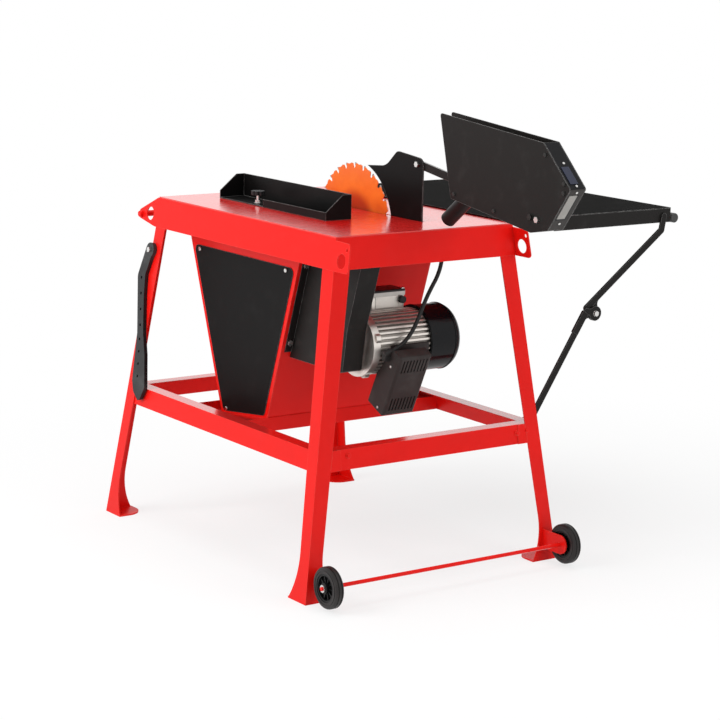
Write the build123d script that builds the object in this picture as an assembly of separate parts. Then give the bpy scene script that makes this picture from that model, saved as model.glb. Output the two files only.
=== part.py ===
from build123d import *
from math import atan, atan2, copysign, cos, degrees, hypot, pi, sin, tan
import os

# A table saw for firewood and site work: a splayed sheet-steel stand, a belt-driven blade, a hood guard
# that swings over on the riving knife, a rip fence, a folding table extension and two wheels.
# Millimetres. X is the feed direction, Y points to the table extension and Z points up. Each piece is
# drawn with the table's centre over the origin. The whole saw is then moved, so that the origin is the
# middle of its box on the floor.

# Table and stand
table_length = 820.0
table_width = 522.0
table_height = 850.0
sheet = 3.0
apron_depth = 79.0
splay_x = 78.0
splay_y = 122.0
leg_side_widths = (48.0, 39.0)
leg_outfeed_widths = (46.0, 38.0)
leg_infeed_widths = (33.0, 36.0)
leg_waist_height = 115.0
foot_width = 75.0
foot_plate = 4.0
foot_round = 45.0
stretcher_top = 352.0
stretcher_depth = 49.0
stretcher_flange = 35.0
tab_width = 30.0
blade_slot_half = 4.0
slot_margin = 6.0

# Clearances between pieces; tops under the table are drawn high by the allowance and then cut level
weld_gap = 0.2
moving_gap = 0.5
running_clearance = 0.06
top_allowance = 2.0

# Carrying ears on the long aprons, with the bar through the infeed pair
nose_reach = 93.0
nose_high_drop = 44.0
nose_low_drop = 64.0
nose_round = 9.0
ear_reach = 66.0
ear_crest_reach = 59.0
ear_crest_drop = 10.0
ear_step_drop = 8.5
ear_round = 10.0
carry_hole_radius = 17.5
infeed_hole_reach = 36.0
infeed_hole_drop = 48.0
outfeed_hole_reach = 33.0
outfeed_hole_drop = 53.0
lashing_hole_radius = 4.75
lashing_hole_reach = 50.0
lashing_hole_drop = 25.0
bar_radius = 8.0
bar_reach = 79.0
bar_drop = 54.0
bar_overhang = 9.0
bar_round = 2.0

# Dust hopper under the table; its end walls lean, and its open bottom edge rises to the outfeed side
hopper_sheet = 2.0
hopper_half_width = 203.0
hopper_depth = 520.0
hopper_low_depth = 538.0
hopper_high_depth = 514.0
hopper_inset = 30.0
hopper_infeed_bottom = -192.0
hopper_outfeed_top = 200.0
hopper_outfeed_bottom = 31.0
cover_top_drop = 116.0
cover_drop = 6.0
cover_margin = 14.0
cover_round = 14.0
cover_thickness = 2.0
cover_screw_insets = {0: (29, 10), 1: (36, 9), 3: (15, 8)}

# Blade, arbor and belt drive
blade_radius = 157.5
blade_thickness = 2.4
blade_y = 75.0
blade_drop = 41.0
blade_teeth = 24
tooth_profile = [(0, 0), (-0.04, 10), (0.06, 16), (0.17, 14), (0.26, 3), (0.42, 1.5), (0.62, 4.5)]
flange_radius = 31.0
flange_thickness = 8.0
arbor_radius = 12.5
arbor_near_y = -166.0
nut_radius = 18.0
nut_thickness = 11.0
pulley_radius = 30.0
pulley_width = 26.0
pulley_y = -145.0
belt_thickness = 4.5
belt_width = 22.0
belt_clearance = 0.4
belt_slot_margin = 4.0
belt_slot_low_drop = 218.0
belt_slot_high_drop = 122.0
bearing_places = (-45.0, 35.0)
bearing_half_width = 35.0
bearing_half_length = 15.0
bearing_drop = 74.0

# Belt housing and motor; the motor leans like the hopper wall that it hangs beside, and the bends of its
# cable are counted from its shaft
housing_near_y = -173.0
housing_far_y = -117.0
housing_top_drop = 62.0
housing_knee_drop = 243.0
housing_bottom_drop = 349.0
housing_depth = 213.0
housing_foot_x = 318.0
housing_wall = 2.0
housing_round = 12.0
housing_lip = 20.0
lip_top_drop = 88.0
lip_bottom_drop = 334.0
lip_bolt_drop = 18.0
lip_bolt_rise = 26.0
shaft_opening = 14.0
motor_x = 290.0
motor_drop = 287.0
motor_tilt = 25.0
motor_radius = 77.0
motor_core_radius = 69.0
fin_count = 40
fin_share = 0.42
shield_depth = 20.0
ear_recess = 7.0
ear_circle = 71.0
ear_angle = 44.0
shield_radius = 79.0
shield_ear_radius = 13.0
body_end_y = 58.0
fan_cover_radius = 82.0
fan_cover_wall = 2.5
fan_cover_end_y = 152.0
fan_cover_overlap = 6.0
fan_cover_round = 26.0
vent_count = 16
vent_inner = 28.0
vent_outer = 62.0
vent_width = 6.0
motor_shaft_radius = 10.0
motor_shaft_end_y = -60.0
box_round = 6.0
terminal_x = -45.0
terminal_near_y = -61.0
terminal_length = 100.0
terminal_width = 60.0
terminal_base = 30.0
terminal_top = 107.0
lid_thickness = 16.0
lid_margin = 2.0
lid_round = 3.0
lid_screw_x = 26.0
capacitor_inner = 62.0
capacitor_depth = 73.0
capacitor_length = 92.0
capacitor_near_y = -81.0
capacitor_top = 46.0
capacitor_bottom = -125.0
saddle_near_y = -67.0
saddle_far_y = 46.0
saddle_top = 37.0
saddle_sheet = 3.0
cable_ledge = 22.5
cable_ledge_drop = 30.0
cable_ledge_bevel = 15.5
capacitor_round = 7.0
capacitor_slots = 8
slot_pitch = 9.5
slot_width = 4.0
slot_height = 36.0
slot_depth = 3.0
slot_insets = (8.0, 16.0)
gland_radius = 9.0
gland_length = 20.0
gland_rise = 18.0
gland_x = 88.0
gland_z = 27.0
gland_reach = 16.0
gland_foot = 14.0
terminal_gland_y = 27.0
terminal_gland_z = 97.0
terminal_gland_length = 11.0
cable_diameter = 10.0
cable_first_run = 35.0
cable_bends = [(94, -10, 43), (93, 24, 119)]
cable_last_run = 43.0
cable_bend_share = 0.45
junction_length = 70.0
junction_width = 50.0
junction_inset = 28.0
junction_y = 70.0
junction_drop = 58.0

# Riving knife and hood guard, swung back over the outfeed end; points are x and height above the table
knife_thickness = 3.0
knife_gap = 8.0
knife_tip_x = 55.0
knife_end_x = 290.0
knife_outline = [(135, 122), (181, 163), (knife_end_x, 153)]
knife_rounds = (55.0, 20.0, 18.0)
knife_tail_x = 215.0
knife_tail_drop = 60.0
clamp_depth = 20.0
guard_arm_line = [(266, 138), (734, 67)]
guard_stud_offset = 24.0
guard_near_y = 50.0
guard_width = 47.0
guard_sheet = 2.0
guard_outline = [(383, 274), (769, 239), (868, 143), (795, 43), (735, 31), (433, 75)]
guard_round = 6.0
far_mouth_shift = 17.0
guard_screw_line = [(778, 212), (846, 154), (846, 133), (447, 86), (600, 64)]
sleeve_radius = 7.0
arm_width = 20.0
arm_thickness = 6.0
spout_radius = 19.0
spout_wall = 2.0
spout_line = [(458, 67), (396, 18.5)]
spout_inset = 0.3
panel_thickness = 1.5
window_shares = (0.53, 0.89)
window_margins = (9.0, 16.0)
panel_shares = (0.14, 0.74)
panel_margins = (6.5, 13.5)
roof_screws = [(1, 0.45), (1, 0.93), (2, 0.075), (2, 0.835)]

# Rip fence
fence_infeed_x = -318.0
fence_outfeed_x = 177.0
fence_front_y = -133.0
fence_back_y = -58.0
fence_height = 61.0
fence_lip_height = 20.0
fence_lip_gap = 55.0
fence_crest = 25.0
fence_sheet = 2.5
fence_lift = 0.4
fence_knob_x = -163.0
fence_knob_y = -113.0
fence_travel_in = 95.0
fence_travel_out = 10.0
fence_screw_radius = 4.0
screw_drop = 16.0
nut_side = 22.0
nut_plate = 6.0
washer_radius = 10.0
washer_height = 2.0
lock_nut_radius = 7.5
lock_nut_height = 6.0
knob_radius = 18.0
knob_thickness = 11.0
knob_bore_depth = 7.0
knob_rise = 24.5
knob_lobes = 8
knob_lobe = 5.5
knob_round = 1.5

# Folding table extension and its brace
extension_rise = 4.0
extension_inset = 30.0
extension_width = 549.0
extension_gap = 2.0
extension_sheet = 2.0
lip_depth = 38.0
lip_setback = 114.0
near_lip_depth = 3.5
edge_tube_radius = 12.5
edge_tube_drop = 24.0
edge_tube_overhang = 4.0
hinge_reach = 7.5
hinge_drop = 7.0
hinge_radius = 5.5
hinge_pin_radius = 2.5
hinge_places = (-260.0, 260.0)
hinge_length = 62.0
strap_length = 60.0
leaf_drop = 44.0
brace_thickness = 5.0
brace_width = 17.0
brace_top_inset = 26.0
brace_top_drop = 17.0
brace_bend_step = (-6.5, -36.0)
brace_knuckle_reach = 298.0
brace_knuckle_drop = 253.0
brace_shoulder_step = (-25.0, 14.7)
brace_elbow_step = (-29.5, 8.0)
brace_foot_reach = 94.0
brace_foot_drop = 17.0
brace_pin_radius = 5.0
brace_pin_head = 4.0
knuckle_radius = 19.0
foot_half = 14.0
foot_pivot_radius = 13.0

# Wheels
wheel_radius = 50.0
wheel_reach = 135.0
wheel_z = 56.0
wheel_spread = 95.0
tyre_width = 23.0
tyre_round = 6.0
groove_offset = 4.5
groove_width = 2.5
groove_depth = 2.0
tyre_inner_radius = 34.0
rim_inner_radius = 29.0
rim_width = 20.0
hub_width = 28.0
hub_radius = 13.0
web_thickness = 4.0
rib_count = 10
rib_width = 2.5
rib_depth = 14.0
axle_radius = 5.0
axle_overhang = 22.0
axle_chamfer = 1.0
bracket_thickness = 4.0
bracket_radius = 24.0
bracket_gap = 1.0
axle_cap_radius = 9.0
axle_cap_thickness = 4.0

# Push stick on the near infeed leg; its points are counted from its bolt, and the outline runs from the
# head down one edge and up the other
stick_thickness = 10.0
stick_bolt_reach = 2.0
stick_bolt_drop = 140.0
stick_head_radius = 19.0
stick_outline = [
    (-18, 7), (-46, -72), (-11, -220), (-6, -346), (7, -373), (33, -391), (44, -386),
    (61, -354), (40, -269), (19, -215), (-2, -118), (-8, -66), (18, 4),
]
stick_bend = 25.0
stick_round = 10.0
stick_middle = [(-25, -76), (3, -218), (18, -330)]
stick_hole_count = 8
stick_hole = 7.0

# Fasteners
bolt_radius = 4.0
bolt_head_radius = 7.5
bolt_head_height = 5.3
screw_radius = 5.5
screw_height = 3.0
small_screw_radius = 3.2
capacitor_screw_places = [(107, 4), (107, -116)]

# Small tools for places

def above_table(points):
    """Points given by x and height above the table, at their heights above the floor."""
    return [(x, table_height + rise) for x, rise in points]


def stepped(point, step):
    """A flat point moved by a step."""
    return point[0] + step[0], point[1] + step[1]


# Places that follow from the sizes above
half_length = table_length / 2
half_width = table_width / 2
underside = table_height - sheet
apron_bottom = table_height - apron_depth
nose_high = table_height - nose_high_drop
nose_low = table_height - nose_low_drop
ear_crest_height = table_height - ear_crest_drop
ear_step_height = table_height - ear_step_drop
infeed_hole_height = table_height - infeed_hole_drop
outfeed_hole_height = table_height - outfeed_hole_drop
lashing_hole_height = table_height - lashing_hole_drop
bar_height = table_height - bar_drop
hopper_bottom = table_height - hopper_depth
hopper_low = table_height - hopper_low_depth
hopper_high = table_height - hopper_high_depth
hopper_infeed_top = hopper_inset - half_length
cover_top = table_height - cover_top_drop
blade_z = table_height - blade_drop
belt_slot_low = table_height - belt_slot_low_drop
belt_slot_high = table_height - belt_slot_high_drop
bearing_bottom = table_height - bearing_drop
housing_top = table_height - housing_top_drop
housing_knee_height = table_height - housing_knee_drop
housing_bottom = table_height - housing_bottom_drop
lip_top = table_height - lip_top_drop
lip_bottom = table_height - lip_bottom_drop
motor_z = table_height - motor_drop
junction_x = half_length - junction_inset
junction_bottom = table_height - junction_drop
knife_back = above_table(knife_outline)
knife_tail_bottom = table_height - knife_tail_drop
guard_pivot, guard_bolt = above_table(guard_arm_line)
guard_corners = above_table(guard_outline)
guard_screws = above_table(guard_screw_line)
spout_root, spout_end = above_table(spout_line)
knob_height = table_height + knob_rise
extension_height = table_height + extension_rise
extension_half_length = half_length - extension_inset
extension_reach = half_width + extension_gap + extension_width
edge_tube_height = table_height - edge_tube_drop
hinge_y = half_width + hinge_reach
hinge_z = table_height - hinge_drop
leaf_bottom = table_height - leaf_drop
brace_top = (extension_reach - brace_top_inset, table_height - brace_top_drop)
brace_bend = stepped(brace_top, brace_bend_step)
brace_knuckle = (half_width + brace_knuckle_reach, table_height - brace_knuckle_drop)
brace_shoulder = stepped(brace_knuckle, brace_shoulder_step)
brace_elbow = stepped(brace_knuckle, brace_elbow_step)
brace_foot_pivot = (half_width + brace_foot_reach, stretcher_top - brace_foot_drop)
wheel_x = half_length + wheel_reach
wheel_y = half_width + wheel_spread
axle_half_length = wheel_y + axle_overhang
stick_bolt = (-half_length - stick_bolt_reach, table_height - stick_bolt_drop)
lean_x = splay_x / table_height
lean_y = splay_y / table_height
end_tilt = atan(lean_x)
side_tilt = atan(lean_y)
hopper_lean = (hopper_outfeed_top - hopper_outfeed_bottom) / (underside - hopper_bottom)
infeed_lean = (hopper_infeed_top - hopper_infeed_bottom) / (underside - hopper_bottom)
guard_far_y = guard_near_y + guard_width
arm_near_y = blade_y + knife_thickness / 2 + moving_gap
ear_near_y = housing_far_y + ear_recess
motor_axis = Pos(motor_x, 0, motor_z)
motor_place = motor_axis * Rot(0, motor_tilt, 0)
plate_bottom = extension_height - extension_sheet
on_base = (Align.CENTER, Align.CENTER, Align.MIN)


def end_x(height, depth=0.0):
    """Distance from the middle to the sloping end plane at a height, depth millimetres inside it."""
    return half_length + lean_x * (table_height - height) - depth / cos(end_tilt)


def side_y(height, depth=0.0):
    """Distance from the middle to the sloping side plane at a height, depth millimetres inside it."""
    return half_width + lean_y * (table_height - height) - depth / cos(side_tilt)


def hopper_infeed(height):
    """Outer face of the hopper's infeed wall at a height."""
    return hopper_infeed_bottom + infeed_lean * (height - hopper_bottom)


def hopper_outfeed(height):
    """Outer face of the hopper's outfeed wall at a height."""
    return hopper_outfeed_bottom + hopper_lean * (height - hopper_bottom)


# Small tools for drawing

def near_plane(depth=0.0):
    """The sloping near side of the stand; its own x is X and its own y runs up the slope."""
    outward = Vector(0, -cos(side_tilt), sin(side_tilt))
    corner = Vector(0, -half_width, table_height)
    return Plane(origin=corner - outward * depth, x_dir=(1, 0, 0), z_dir=outward)


def outfeed_plane(depth=0.0):
    """The sloping outfeed end of the stand; its own x is Y and its own y runs up the slope."""
    outward = Vector(cos(end_tilt), 0, sin(end_tilt))
    corner = Vector(half_length, 0, table_height)
    return Plane(origin=corner - outward * depth, x_dir=(0, 1, 0), z_dir=outward)


def upright(y):
    """A plane that faces the near side; its own axes are X and Z."""
    return Plane(origin=(0, y, 0), x_dir=(1, 0, 0), z_dir=(0, -1, 0))


def crosswise(x):
    """A plane that faces the outfeed end; its own axes are Y and Z."""
    return Plane(origin=(x, 0, 0), x_dir=(0, 1, 0), z_dir=(1, 0, 0))


def up_slope(plane, points):
    """Outline points given by place and height, turned into the plane's own coordinates."""
    return [(place, (height - plane.origin.Z) / plane.y_dir.Z) for place, height in points]


def rounded(face, points, radii):
    """A flat face with its corners at the given points rounded."""
    for point, radius in zip(points, radii):
        corner = face.vertices().sort_by_distance(Vector(*point))[0]
        face = fillet(corner, radius)
    return face


def outline(points, rounds=None):
    """A closed flat outline; rounds gives a corner radius for some of its points."""
    face = make_face(Polyline(*points, close=True))
    rounds = rounds or {}
    return rounded(face, [points[index] for index in rounds], rounds.values())


def bar_path(points, width):
    """A flat bar of one width that follows straight runs, with round ends and bends."""
    shape = Sketch()
    for (start_u, start_v), (end_u, end_v) in zip(points, points[1:]):
        length = hypot(end_u - start_u, end_v - start_v)
        angle = degrees(atan2(end_v - start_v, end_u - start_u))
        middle = Pos((start_u + end_u) / 2, (start_v + end_v) / 2)
        shape += middle * SlotCenterToCenter(length, width, rotation=angle)
    return shape


def rod_y(radius, start, end, x, z):
    """A round bar along Y."""
    return Pos(x, (start + end) / 2, z) * Rot(90, 0, 0) * Cylinder(radius, end - start)


def rod_x(radius, start, end, y, z):
    """A round bar along X."""
    return Pos((start + end) / 2, y, z) * Rot(0, 90, 0) * Cylinder(radius, end - start)


def block(low, high):
    """A box between two corners."""
    size = [b - a for a, b in zip(low, high)]
    middle = [(a + b) / 2 for a, b in zip(low, high)]
    return Pos(*middle) * Box(*size)


def in_stand(part):
    """The piece cut level with the floor and with the underside of the table."""
    return part & block((-table_length, -table_length, 0), (table_length, table_length, underside))


def both_sides(part):
    """The piece and its mirror image across the feed line."""
    return part + mirror(part, about=Plane.XZ)


def hex_bolt(length):
    """A hexagon bolt along Z whose head stands on the plane z = 0."""
    head = extrude(RegularPolygon(bolt_head_radius, 6), bolt_head_height)
    return head + Pos(0, 0, -length / 2) * Cylinder(bolt_radius, length)


def pan_screw(radius=screw_radius):
    """The head of a panel screw along Z, standing on the plane z = 0."""
    height = screw_height * radius / screw_radius
    head = Cylinder(radius, height, align=on_base)
    return fillet(head.edges().sort_by(Axis.Z)[-1], height * 0.6)


# Table and stand

def table_top():
    """The steel table with the blade slot and the slot for the fence screw."""
    plate = block((-half_length, -half_width, underside), (half_length, half_width, table_height))
    slot_start = -blade_radius - slot_margin
    slot_end = knife_end_x + slot_margin
    blade_slot = block(
        (slot_start, blade_y - blade_slot_half, underside),
        (slot_end, blade_y + blade_slot_half, table_height),
    )
    travel = fence_travel_in + fence_travel_out
    middle = fence_knob_y + (fence_travel_in - fence_travel_out) / 2
    screw_slot = SlotCenterToCenter(travel, 2 * (fence_screw_radius + moving_gap), rotation=90)
    screw_cut = Pos(fence_knob_x, middle, underside) * extrude(screw_slot, sheet)
    return plate - blade_slot - screw_cut


def side_apron():
    """The near apron with its two carrying ears."""
    plane = near_plane()
    top = underside + top_allowance
    nose_x = -half_length - nose_reach
    points = [
        (-half_length, top),
        (nose_x, nose_high),
        (nose_x, nose_low),
        (-end_x(apron_bottom), apron_bottom),
        (half_length + ear_reach, apron_bottom),
        (half_length + ear_crest_reach, ear_crest_height),
        (end_x(ear_step_height), ear_step_height),
        (half_length, top),
    ]
    rounds = {1: nose_round, 2: nose_round, 4: ear_round, 5: ear_round}
    slab = extrude(plane * outline(up_slope(plane, points), rounds), -sheet)
    holes = [
        (carry_hole_radius, -half_length - infeed_hole_reach, infeed_hole_height),
        (carry_hole_radius, half_length + outfeed_hole_reach, outfeed_hole_height),
        (lashing_hole_radius, half_length + lashing_hole_reach, lashing_hole_height),
        (bar_radius, -half_length - bar_reach, bar_height),
    ]
    for radius, x, z in holes:
        slab -= rod_y(radius, -table_width, 0, x, z)
    return in_stand(slab)


def end_apron():
    """The outfeed apron, which stands between the two long ones."""
    plane = outfeed_plane()
    top = underside + top_allowance
    high = side_y(top, sheet) - weld_gap
    low = side_y(apron_bottom, sheet) - weld_gap
    points = [(-high, top), (-low, apron_bottom), (low, apron_bottom), (high, top)]
    return in_stand(extrude(plane * outline(up_slope(plane, points)), -sheet))


def leg_width(height, widths):
    """Width of a leg's flange at a height, from its widths under the table and at the waist."""
    at_top, at_waist = widths
    share = (height - leg_waist_height) / (underside - leg_waist_height)
    return at_waist + (at_top - at_waist) * share


def leg_flange(plane, corner, side, widths):
    """One flange of a leg: straight down to the waist and then flared to the foot."""
    top = underside + top_allowance
    levels = [
        (corner(top), top),
        (corner(0), 0),
        (corner(0) - side * foot_width, 0),
        (corner(leg_waist_height) - side * leg_width(leg_waist_height, widths), leg_waist_height),
        (corner(top) - side * leg_width(top, widths), top),
    ]
    outer_top, outer_foot, inner_foot, waist, inner_top = up_slope(plane, levels)
    straight = Vector(*waist) - Vector(*inner_top)
    edge = Polyline(waist, inner_top, outer_top, outer_foot, inner_foot)
    edge += TangentArc(waist, inner_foot, tangent=straight)
    return extrude(plane * make_face(edge), -sheet)


def leg(end_widths):
    """A leg in the near outfeed corner: an angle with flared foot and a foot plate on the floor."""
    end_flange = leg_flange(outfeed_plane(sheet), lambda z: -side_y(z, sheet), -1, end_widths)
    side_flange = leg_flange(near_plane(sheet), lambda z: end_x(z, sheet), 1, leg_side_widths)
    corner_x = end_x(foot_plate, sheet)
    corner_y = -side_y(foot_plate, sheet)
    inner_x = corner_x - foot_width
    inner_y = corner_y + foot_width
    points = [(corner_x, corner_y), (corner_x, inner_y), (inner_x, inner_y), (inner_x, corner_y)]
    plate = extrude(outline(points, {2: foot_round}), foot_plate)
    return in_stand(end_flange + side_flange + plate)


def side_stretcher():
    """The near stretcher, an angle between the two near legs."""
    plane = near_plane(2 * sheet)
    bottom = stretcher_top - stretcher_depth
    high = end_x(stretcher_top, 3 * sheet) - weld_gap
    low = end_x(bottom, 3 * sheet) - weld_gap
    points = [(-high, stretcher_top), (-low, bottom), (low, bottom), (high, stretcher_top)]
    web = extrude(plane * outline(up_slope(plane, points)), -sheet)
    outer = side_y(stretcher_top, 2 * sheet)
    reach = end_x(stretcher_top, 2 * sheet) - stretcher_flange - weld_gap
    flange = block(
        (-reach, -outer, stretcher_top - sheet), (reach, stretcher_flange - outer, stretcher_top)
    )
    return web + flange


def end_stretcher(leg_widths):
    """A stretcher at the outfeed end, an angle with a bolting tab beside each leg."""
    plane = outfeed_plane(2 * sheet)
    bottom = stretcher_top - stretcher_depth
    high = side_y(stretcher_top, 2 * sheet) - weld_gap
    low = side_y(bottom, 2 * sheet) - weld_gap
    points = [(-high, stretcher_top), (-low, bottom), (low, bottom), (high, stretcher_top)]
    web = extrude(plane * outline(up_slope(plane, points)), -sheet)
    outer = end_x(stretcher_top, 2 * sheet)
    reach = side_y(stretcher_top, 3 * sheet) - weld_gap
    flange = block((outer - stretcher_flange, -reach, stretcher_top - sheet), (outer, reach, stretcher_top))
    tab_plane = outfeed_plane(sheet)
    low_edge = weld_gap + leg_width(bottom, leg_widths) - side_y(bottom, sheet)
    high_edge = weld_gap + leg_width(stretcher_top, leg_widths) - side_y(stretcher_top, sheet)
    tab_points = [
        (low_edge, bottom),
        (low_edge + tab_width, bottom),
        (low_edge + tab_width, stretcher_top),
        (high_edge, stretcher_top),
    ]
    tab = extrude(tab_plane * outline(up_slope(tab_plane, tab_points)), -sheet)
    return web + flange + both_sides(tab)


def end_stretchers():
    """The stretchers of both ends."""
    return end_stretcher(leg_outfeed_widths) + mirror(end_stretcher(leg_infeed_widths), about=Plane.YZ)


def handle_bar():
    """The carrying bar through the infeed ears."""
    reach = side_y(bar_height) + bar_overhang
    bar = rod_y(bar_radius, -reach, reach, -half_length - bar_reach, bar_height)
    return fillet(bar.edges(), bar_round)


# Dust hopper

def hopper_side_wall():
    """The near wall of the hopper."""
    points = [
        (hopper_infeed_top, underside),
        (hopper_infeed(hopper_low), hopper_low),
        (hopper_outfeed(hopper_high), hopper_high),
        (hopper_outfeed_top, underside),
    ]
    return extrude(upright(-hopper_half_width) * outline(points), -hopper_sheet)


def hopper_end_wall(face_x, low, inward):
    """A sloping end wall of the hopper; face_x gives its outer face by height."""
    shift = inward * hopper_sheet
    points = [
        (face_x(underside), underside),
        (face_x(low), low),
        (face_x(low) + shift, low),
        (face_x(underside) + shift, underside),
    ]
    reach = hopper_half_width - hopper_sheet
    return extrude(upright(-reach) * outline(points), -2 * reach)


def hopper_end_walls():
    """Both end walls; the outfeed one has the slot that the belt runs through."""
    infeed = hopper_end_wall(hopper_infeed, hopper_low, 1)
    outfeed = hopper_end_wall(hopper_outfeed, hopper_high, -1)
    half = pulley_width / 2 + belt_slot_margin
    belt_slot = block((0, pulley_y - half, belt_slot_low), (half_length, pulley_y + half, belt_slot_high))
    return infeed + (outfeed - belt_slot - housing_bolts())


def cover_points():
    """Corners of the hopper's front cover, clockwise from the top infeed one."""
    low = hopper_low + cover_drop
    high = hopper_high + cover_drop
    return [
        (hopper_infeed(cover_top) + cover_margin, cover_top),
        (hopper_outfeed(cover_top) - cover_margin, cover_top),
        (hopper_outfeed(high) - cover_margin, high),
        (hopper_infeed(low) + cover_margin, low),
    ]


def hopper_cover():
    """The screwed cover on the near side of the hopper."""
    rounds = {index: cover_round for index in range(4)}
    return extrude(upright(-hopper_half_width) * outline(cover_points(), rounds), cover_thickness)


# Belt housing and motor

def housing_bolts():
    """The two bolts that hold the housing's lip to the hopper wall."""
    slope = atan(hopper_lean)
    bolts = Part()
    for z in (lip_top - lip_bolt_drop, lip_bottom + lip_bolt_rise):
        place = Pos(hopper_outfeed(z), housing_near_y - housing_lip / 2, z) * Rot(0, 90 + degrees(slope), 0)
        bolts += place * Pos(0, 0, housing_wall * cos(slope)) * hex_bolt(housing_wall + 2 * hopper_sheet)
    return bolts


def drive_housing():
    """The black sheet housing round the belt, open to the hopper wall."""
    points = [
        (hopper_outfeed(housing_top), housing_top),
        (hopper_outfeed(housing_top) + housing_depth, housing_top),
        (hopper_outfeed(housing_knee_height) + housing_depth, housing_knee_height),
        (housing_foot_x, housing_bottom),
        (hopper_outfeed(housing_bottom), housing_bottom),
    ]
    outer = outline(points, {1: housing_round, 2: housing_round, 3: housing_round})
    inner = offset(outer, -housing_wall)
    inner += Pos(-2 * housing_wall, 0) * inner
    depth = housing_far_y - housing_near_y
    shell = extrude(upright(housing_near_y) * outer, -depth)
    shell -= extrude(upright(housing_near_y + housing_wall) * inner, 2 * housing_wall - depth)
    shell -= rod_y(motor_shaft_radius + shaft_opening, housing_near_y + depth / 2, 0, motor_x, motor_z)
    lip_points = [
        (hopper_outfeed(lip_top), lip_top),
        (hopper_outfeed(lip_top) + housing_wall, lip_top),
        (hopper_outfeed(lip_bottom) + housing_wall, lip_bottom),
        (hopper_outfeed(lip_bottom), lip_bottom),
    ]
    lip = extrude(upright(housing_near_y - housing_lip) * outline(lip_points), -housing_lip - housing_wall)
    return shell + lip - housing_bolts()


def ear_places():
    """The four fixing ears of the motor shield, in the motor's own axes."""
    angles = [ear_angle * pi / 180 + quarter * pi / 2 for quarter in range(4)]
    return [(ear_circle * cos(angle), ear_circle * sin(angle)) for angle in angles]


def ear_screws():
    """The four bolts in the ears of the motor shield."""
    screws = Part()
    for x, z in ear_places():
        screws += Pos(x, ear_near_y, z) * Rot(90, 0, 0) * hex_bolt(shield_depth - ear_recess)
    return motor_place * screws


def motor_shield():
    """The drive-end shield of the motor."""
    start = housing_far_y
    end = start + shield_depth
    shield = rod_y(shield_radius, start, end, 0, 0)
    for x, z in ear_places():
        shield += rod_y(shield_ear_radius, ear_near_y, end, x, z)
    shield -= rod_y(motor_shaft_radius + running_clearance, start, end, 0, 0)
    return motor_place * shield - ear_screws()


def motor_body():
    """The finned motor housing."""
    start = housing_far_y + shield_depth
    section = Circle(motor_core_radius)
    fin = Rectangle(2 * motor_radius, fin_share * 2 * pi * motor_radius / fin_count)
    for index in range(fin_count // 2):
        section += Rot(0, 0, index * 360 / fin_count) * fin
    section = section & Circle(motor_radius)
    body = extrude(upright(start) * section, start - body_end_y)
    body -= rod_y(motor_shaft_radius + running_clearance, start, motor_shaft_end_y + moving_gap, 0, 0)
    return motor_axis * body


def fan_cover():
    """The vented cover over the motor's fan."""
    start = body_end_y - fan_cover_overlap
    cover = rod_y(fan_cover_radius, start, fan_cover_end_y, 0, 0)
    far_rim = cover.edges().sort_by(Axis.Y)[-1]
    cover = fillet(far_rim, fan_cover_round)
    hollow = rod_y(fan_cover_radius - fan_cover_wall, body_end_y, fan_cover_end_y - fan_cover_wall, 0, 0)
    hollow = fillet(hollow.edges().sort_by(Axis.Y)[-1], fan_cover_round - fan_cover_wall)
    cover -= hollow
    cover -= rod_y(motor_radius, start, body_end_y, 0, 0)
    vent = block(
        (vent_inner, fan_cover_end_y - 2 * fan_cover_wall, -vent_width / 2),
        (vent_outer, fan_cover_end_y, vent_width / 2),
    )
    for index in range(vent_count):
        cover -= Rot(0, index * 360 / vent_count, 0) * vent
    return motor_place * cover


def terminal_box():
    """The terminal box on top of the motor, hollowed to sit on its fins."""
    far_y = terminal_near_y + terminal_length
    half = terminal_width / 2
    box = block((-half, terminal_near_y, terminal_base), (half, far_y, terminal_top))
    box = Pos(terminal_x, 0, 0) * fillet(box.edges().filter_by(Axis.Z), box_round)
    return motor_axis * (box - rod_y(motor_radius, terminal_near_y, far_y, 0, 0))


def terminal_lid():
    """The lid of the terminal box."""
    half = terminal_width / 2 + lid_margin
    near_y = terminal_near_y - lid_margin
    far_y = terminal_near_y + terminal_length + lid_margin
    lid = block((-half, near_y, terminal_top), (half, far_y, terminal_top + lid_thickness))
    lid = fillet(lid.edges().filter_by(Axis.Z), box_round)
    top_edges = lid.faces().sort_by(Axis.Z)[-1].edges()
    return motor_axis * Pos(terminal_x, 0, 0) * fillet(top_edges, lid_round)


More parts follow.
